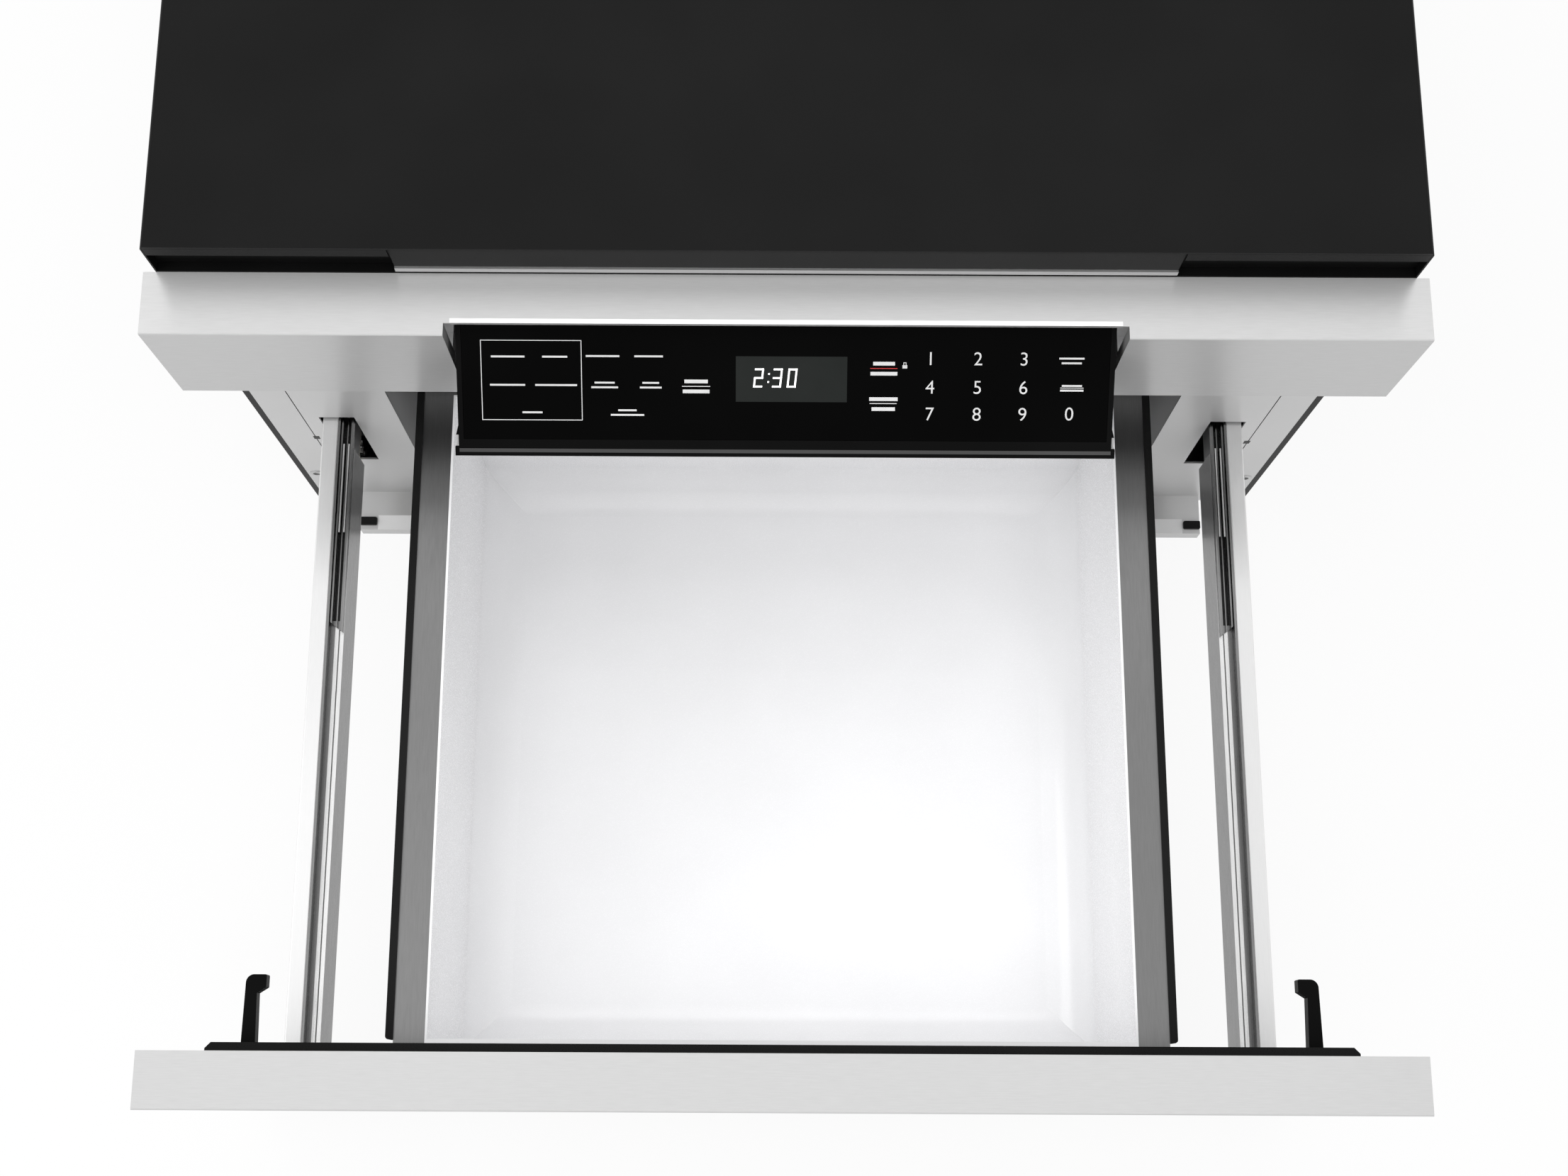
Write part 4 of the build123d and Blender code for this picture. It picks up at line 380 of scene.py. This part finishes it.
def segment_strips(letters, left):
    """The lit strips of one seven-segment digit, upright."""
    right = left + CLOCK_WIDTH
    base = CLOCK_BASE
    half = base + CLOCK_HEIGHT / 2
    top = base + CLOCK_HEIGHT
    strips = {
        "a": (left, top - CLOCK_LINE, right, top),
        "g": (left, half - CLOCK_LINE / 2, right, half + CLOCK_LINE / 2),
        "d": (left, base, right, base + CLOCK_LINE),
        "f": (left, half, left + CLOCK_LINE, top),
        "b": (right - CLOCK_LINE, half, right, top),
        "e": (left, base, left + CLOCK_LINE, half),
        "c": (right - CLOCK_LINE, base, right, half),
    }
    return [strips[letter] for letter in letters]


clock = []
for shown, left in CLOCK_DIGITS:
    clock += segment_strips(SEGMENTS[shown], left)
for rise in COLON_RISES:
    clock.append((COLON_LEFT, CLOCK_BASE + rise,
                  COLON_LEFT + COLON_DOT, CLOCK_BASE + rise + COLON_DOT))
clock_piece = printed("clock_digits", clock, "segment_light")
# Slanted to the right, and lifted off the window.
slanted = Matrix((
    (1.0, CLOCK_SLANT, 0.0, -CLOCK_SLANT * CLOCK_BASE * MM),
    (0.0, 1.0, 0.0, 0.0),
    (0.0, 0.0, 1.0, 2 * PRINT_THICK * MM),
    (0.0, 0.0, 0.0, 1.0)))
clock_piece.data.transform(GLASS_AXES @ slanted @ GLASS_AXES.inverted())

# ---------------------------------------------------------------- painted highlights and shade along edges

VENT_HALF = 230.0
VENT_FRONT, VENT_BACK = 0.0, 1.5
VENT_FOOT, VENT_TOP = 453.2, 457.2
LIP_WRAP = 0.3                         # how far the lip reaches past the vent strip's edge
# The bright lip on the vent strip's front edge is a painted highlight.
blocks_piece("vent_lip_highlight",
             [((-VENT_HALF, VENT_FRONT - LIP_WRAP, VENT_FOOT - LIP_WRAP),
               (VENT_HALF, VENT_BACK, VENT_TOP + LIP_WRAP))],
             "painted_edge_highlight", "chassis")

HEM_HALF = 197.5
HEM_FRONT, HEM_BACK = -31.3, -28.3
TRIM_TOP = 450.0
# The bright strip along the hem of the notch in the trim is a painted highlight.
blocks_piece("notch_hem_highlight",
             [((-HEM_HALF, HEM_FRONT, TRIM_TOP - 0.6), (HEM_HALF, HEM_BACK, TRIM_TOP + 0.15))],
             "painted_edge_highlight", "chassis")

SILL_HALF = 320.0
SILL_FRONT, SILL_BACK = -31.5, -19.7
SILL_TOP = 12.0
# The pale strip on the sill's top front edge is painted light, standing for the light that falls
# on its top.
blocks_piece("sill_edge_highlight",
             [((-SILL_HALF, SILL_FRONT, SILL_TOP), (SILL_HALF, SILL_BACK, SILL_TOP + 0.4))],
             "painted_sill_highlight", "chassis")

# Dark strips over the panel's side folds: painted shade.
PANEL_FOLD = [((196.5, -32.1, 364.2), (198.5, -31.95, 441.8))]
blocks_piece("panel_fold_shade", PANEL_FOLD + mirrored(PANEL_FOLD), "dark_plastic",
             "control_panel", SHUT_PANEL_AXES)

# ---------------------------------------------------------------- details of the front frame

# Black patches on the front frame: painted shade, where small openings in the frame lie in shade.
FRAME_OPENING_SHADE = [((339.6, -0.15, 143.5), (344.0, 0.0, 149.5))]
blocks_piece("frame_opening_shade", FRAME_OPENING_SHADE + mirrored(FRAME_OPENING_SHADE), "black_plate",
             "chassis")

RING_X = 360.0
RING_Z = 60.6
RING_INNER = 3.0
RING_OUTER = 5.6
RING_THICK = 0.8
RING_STEPS = 32


def fixing_ring(name, x):
    """A flat ring on the front frame that faces the front, with a domed edge."""
    shape = bmesh.new()
    section = [(RING_INNER, 0.0), (RING_INNER, -RING_THICK),
               (RING_OUTER - RING_THICK, -RING_THICK), (RING_OUTER, -RING_THICK / 3),
               (RING_OUTER, 0.0)]
    rings = []
    for step in range(RING_STEPS):
        angle = 2 * math.pi * step / RING_STEPS
        rings.append([shape.verts.new(((x + radius * math.cos(angle)) * MM, y * MM,
                                       (RING_Z + radius * math.sin(angle)) * MM))
                      for radius, y in section])
    for step in range(RING_STEPS):
        here, there = rings[step], rings[(step + 1) % RING_STEPS]
        for index in range(len(section)):
            after = (index + 1) % len(section)
            shape.faces.new((here[index], here[after], there[after], there[index]))
    bmesh.ops.recalc_face_normals(shape, faces=shape.faces)
    finish_piece(name, mesh_of(name, shape), "zinc_sheet", "chassis")


fixing_ring("fixing_ring_left", -RING_X)
fixing_ring("fixing_ring_right", RING_X)

# ---------------------------------------------------------------- details of the slides

CAGE_FRONT, CAGE_BACK = -83.5, -18.0
CAGE_LOW, CAGE_HIGH = 183.8, 185.8
CAGE = [((308.8, CAGE_FRONT, CAGE_LOW), (309.8, CAGE_BACK, CAGE_HIGH)),
        ((312.3, CAGE_FRONT, CAGE_LOW), (313.3, CAGE_BACK, CAGE_HIGH))]
paired_pieces("ball_cage", CAGE, "cage_steel_and_rail_highlight", "slide_{}")

# Dark strips along each slide: painted shade.
SLIDE_SHADE_FRONT, SLIDE_SHADE_BACK = -147.0, 240.0
SLIDE_SHADE_LOW, SLIDE_SHADE_HIGH = 181.1, 181.3
SLIDE_SHADE = [((308.3, SLIDE_SHADE_FRONT, SLIDE_SHADE_LOW), (310.6, SLIDE_SHADE_BACK, SLIDE_SHADE_HIGH)),
          ((311.5, SLIDE_SHADE_FRONT, SLIDE_SHADE_LOW), (313.8, SLIDE_SHADE_BACK, SLIDE_SHADE_HIGH))]
paired_pieces("slide_grease", SLIDE_SHADE, "painted_slide_shade", "slide_{}")

# Bright strips along the drawer member's shelf: painted highlights on its edges.
RAIL_HIGHLIGHT_FRONT, RAIL_HIGHLIGHT_BACK = -440.5, -20.2
RAIL_HIGHLIGHT_LOW = 179.4                      # the top of the drawer member's shelf
RAIL_HIGHLIGHT_HIGH = RAIL_HIGHLIGHT_LOW + 0.25
RAIL_HIGHLIGHTS = [((306.4, RAIL_HIGHLIGHT_FRONT, RAIL_HIGHLIGHT_LOW), (309.0, RAIL_HIGHLIGHT_BACK, RAIL_HIGHLIGHT_HIGH)),
          ((309.9, RAIL_HIGHLIGHT_FRONT, RAIL_HIGHLIGHT_LOW), (312.5, RAIL_HIGHLIGHT_BACK, RAIL_HIGHLIGHT_HIGH))]
paired_pieces("rail_edge_highlight", RAIL_HIGHLIGHTS, "cage_steel_and_rail_highlight", "drawer")

# ---------------------------------------------------------------- floor and world

FLOOR_HALF = 15.0
FLOOR_DROP = 0.0005                    # keeps the floor clear of the base
FLOOR_GLOW = 0.9                       # share of plain white in what is seen of the floor
FALLING_LIGHT = 0.80                   # of the world; to the eye it is 1, which is white


def seen_or_mirrored(tree):
    """One for camera rays and for mirrored or refracted ones, nought for the light that falls."""
    ray = tree.nodes.new("ShaderNodeLightPath")
    total = ray.outputs["Is Camera Ray"]
    for kind in ("Is Glossy Ray", "Is Transmission Ray"):
        both = tree.nodes.new("ShaderNodeMath")
        both.operation = "ADD"
        both.use_clamp = True
        tree.links.new(total, both.inputs[0])
        tree.links.new(ray.outputs[kind], both.inputs[1])
        total = both.outputs[0]
    return total


def scaled(tree, source, factor, offset=0.0):
    """A value times a factor, plus an offset."""
    node = tree.nodes.new("ShaderNodeMath")
    node.operation = "MULTIPLY_ADD"
    node.inputs[1].default_value = factor
    node.inputs[2].default_value = offset
    tree.links.new(source, node.inputs[0])
    return node.outputs[0]


def floor_material():
    """A pale material that shows nearly white and keeps the object's shadow."""
    tree, shader, coords = new_material("studio_floor")
    shader.inputs["Roughness"].default_value = 0.9
    shader.inputs["Specular IOR Level"].default_value = 0.0
    cloud = stretched_noise(tree, coords, (400.0, 400.0, 400.0))
    tree.links.new(ramp(tree, cloud, 0.84, 0.86), shader.inputs["Base Color"])
    glow = tree.nodes.new("ShaderNodeEmission")
    glow.inputs["Strength"].default_value = 1.0
    mix = tree.nodes.new("ShaderNodeMixShader")
    tree.links.new(scaled(tree, seen_or_mirrored(tree), FLOOR_GLOW), mix.inputs["Fac"])
    tree.links.new(shader.outputs["BSDF"], mix.inputs[1])
    tree.links.new(glow.outputs["Emission"], mix.inputs[2])
    tree.links.new(mix.outputs["Shader"], tree.nodes["Material Output"].inputs["Surface"])
    return MATERIALS["studio_floor"]


floor_mesh = bpy.data.meshes.new("studio_floor")
floor_mesh.from_pydata([(-FLOOR_HALF, -FLOOR_HALF, 0), (FLOOR_HALF, -FLOOR_HALF, 0),
                        (FLOOR_HALF, FLOOR_HALF, 0), (-FLOOR_HALF, FLOOR_HALF, 0)],
                       [], [(0, 1, 2, 3)])
floor = bpy.data.objects.new("studio_floor", floor_mesh)
floor.location.z = -FLOOR_DROP
floor.data.materials.append(floor_material())
bpy.context.scene.collection.objects.link(floor)

world = bpy.data.worlds.new("studio")
bpy.context.scene.world = world
world.use_nodes = True
world_tree = world.node_tree
background = world_tree.nodes["Background"]
background.inputs["Color"].default_value = (1.0, 1.0, 1.0, 1.0)
world_strength = scaled(world_tree, seen_or_mirrored(world_tree), 1.0 - FALLING_LIGHT,
                        FALLING_LIGHT)
world_tree.links.new(world_strength, background.inputs["Strength"])

# ---------------------------------------------------------------- lamps

LAMPS_AIM = Vector((0.0, -0.1, 0.3))


def soft_light(name, at, size, power, in_mirrors=True):
    """A soft box aimed at the object; polished faces may or may not mirror it."""
    lamp = bpy.data.lights.new(name, "AREA")
    lamp.shape = "RECTANGLE"
    lamp.size, lamp.size_y = size
    lamp.energy = power
    light = bpy.data.objects.new(name, lamp)
    light.location = at
    light.rotation_euler = (LAMPS_AIM - Vector(at)).to_track_quat("-Z", "Y").to_euler()
    light.visible_glossy = in_mirrors
    bpy.context.scene.collection.objects.link(light)


soft_light("top_light", (-0.1, -0.35, 2.4), (2.2, 1.6), 16.0, in_mirrors=False)
soft_light("key_light", (-1.9, -0.5, 2.0), (1.4, 1.4), 12.0)
soft_light("back_light", (0.0, 1.0, 2.4), (2.6, 1.0), 8.0)

# ---------------------------------------------------------------- camera of the photograph

PHOTO_WIDTH = 2212
SENSOR = 36.0
FOCAL_PIXELS = 2855.9
CENTRE_COLUMN = 1080.5                 # where the optical axis meets the photo
CAMERA_AT = Vector((-0.0111, -0.4767, 1.5606))
CAMERA_TILT = math.radians(14.44)      # from straight down, towards the back
CAMERA_ROLL = math.radians(-0.29)
CLIP_START = 0.02

camera_data = bpy.data.cameras.new("photo_camera")
camera_data.sensor_fit = "HORIZONTAL"
camera_data.sensor_width = SENSOR
camera_data.lens = FOCAL_PIXELS / PHOTO_WIDTH * SENSOR
camera_data.shift_x = (PHOTO_WIDTH / 2 - CENTRE_COLUMN) / PHOTO_WIDTH
camera_data.clip_start = CLIP_START
camera = bpy.data.objects.new("photo_camera", camera_data)
bpy.context.scene.collection.objects.link(camera)
forward = Vector((0.0, math.sin(CAMERA_TILT), -math.cos(CAMERA_TILT)))
down = Vector((0.0, -math.cos(CAMERA_TILT), -math.sin(CAMERA_TILT)))
right = Vector((1.0, 0.0, 0.0))
rolled_right = right * math.cos(CAMERA_ROLL) + down * math.sin(CAMERA_ROLL)
rolled_down = down * math.cos(CAMERA_ROLL) - right * math.sin(CAMERA_ROLL)
turn = Matrix((rolled_right, -rolled_down, -forward)).transposed()
camera.matrix_world = Matrix.Translation(CAMERA_AT) @ turn.to_4x4()
bpy.context.scene.camera = camera

bpy.context.scene.view_settings.view_transform = "Standard"
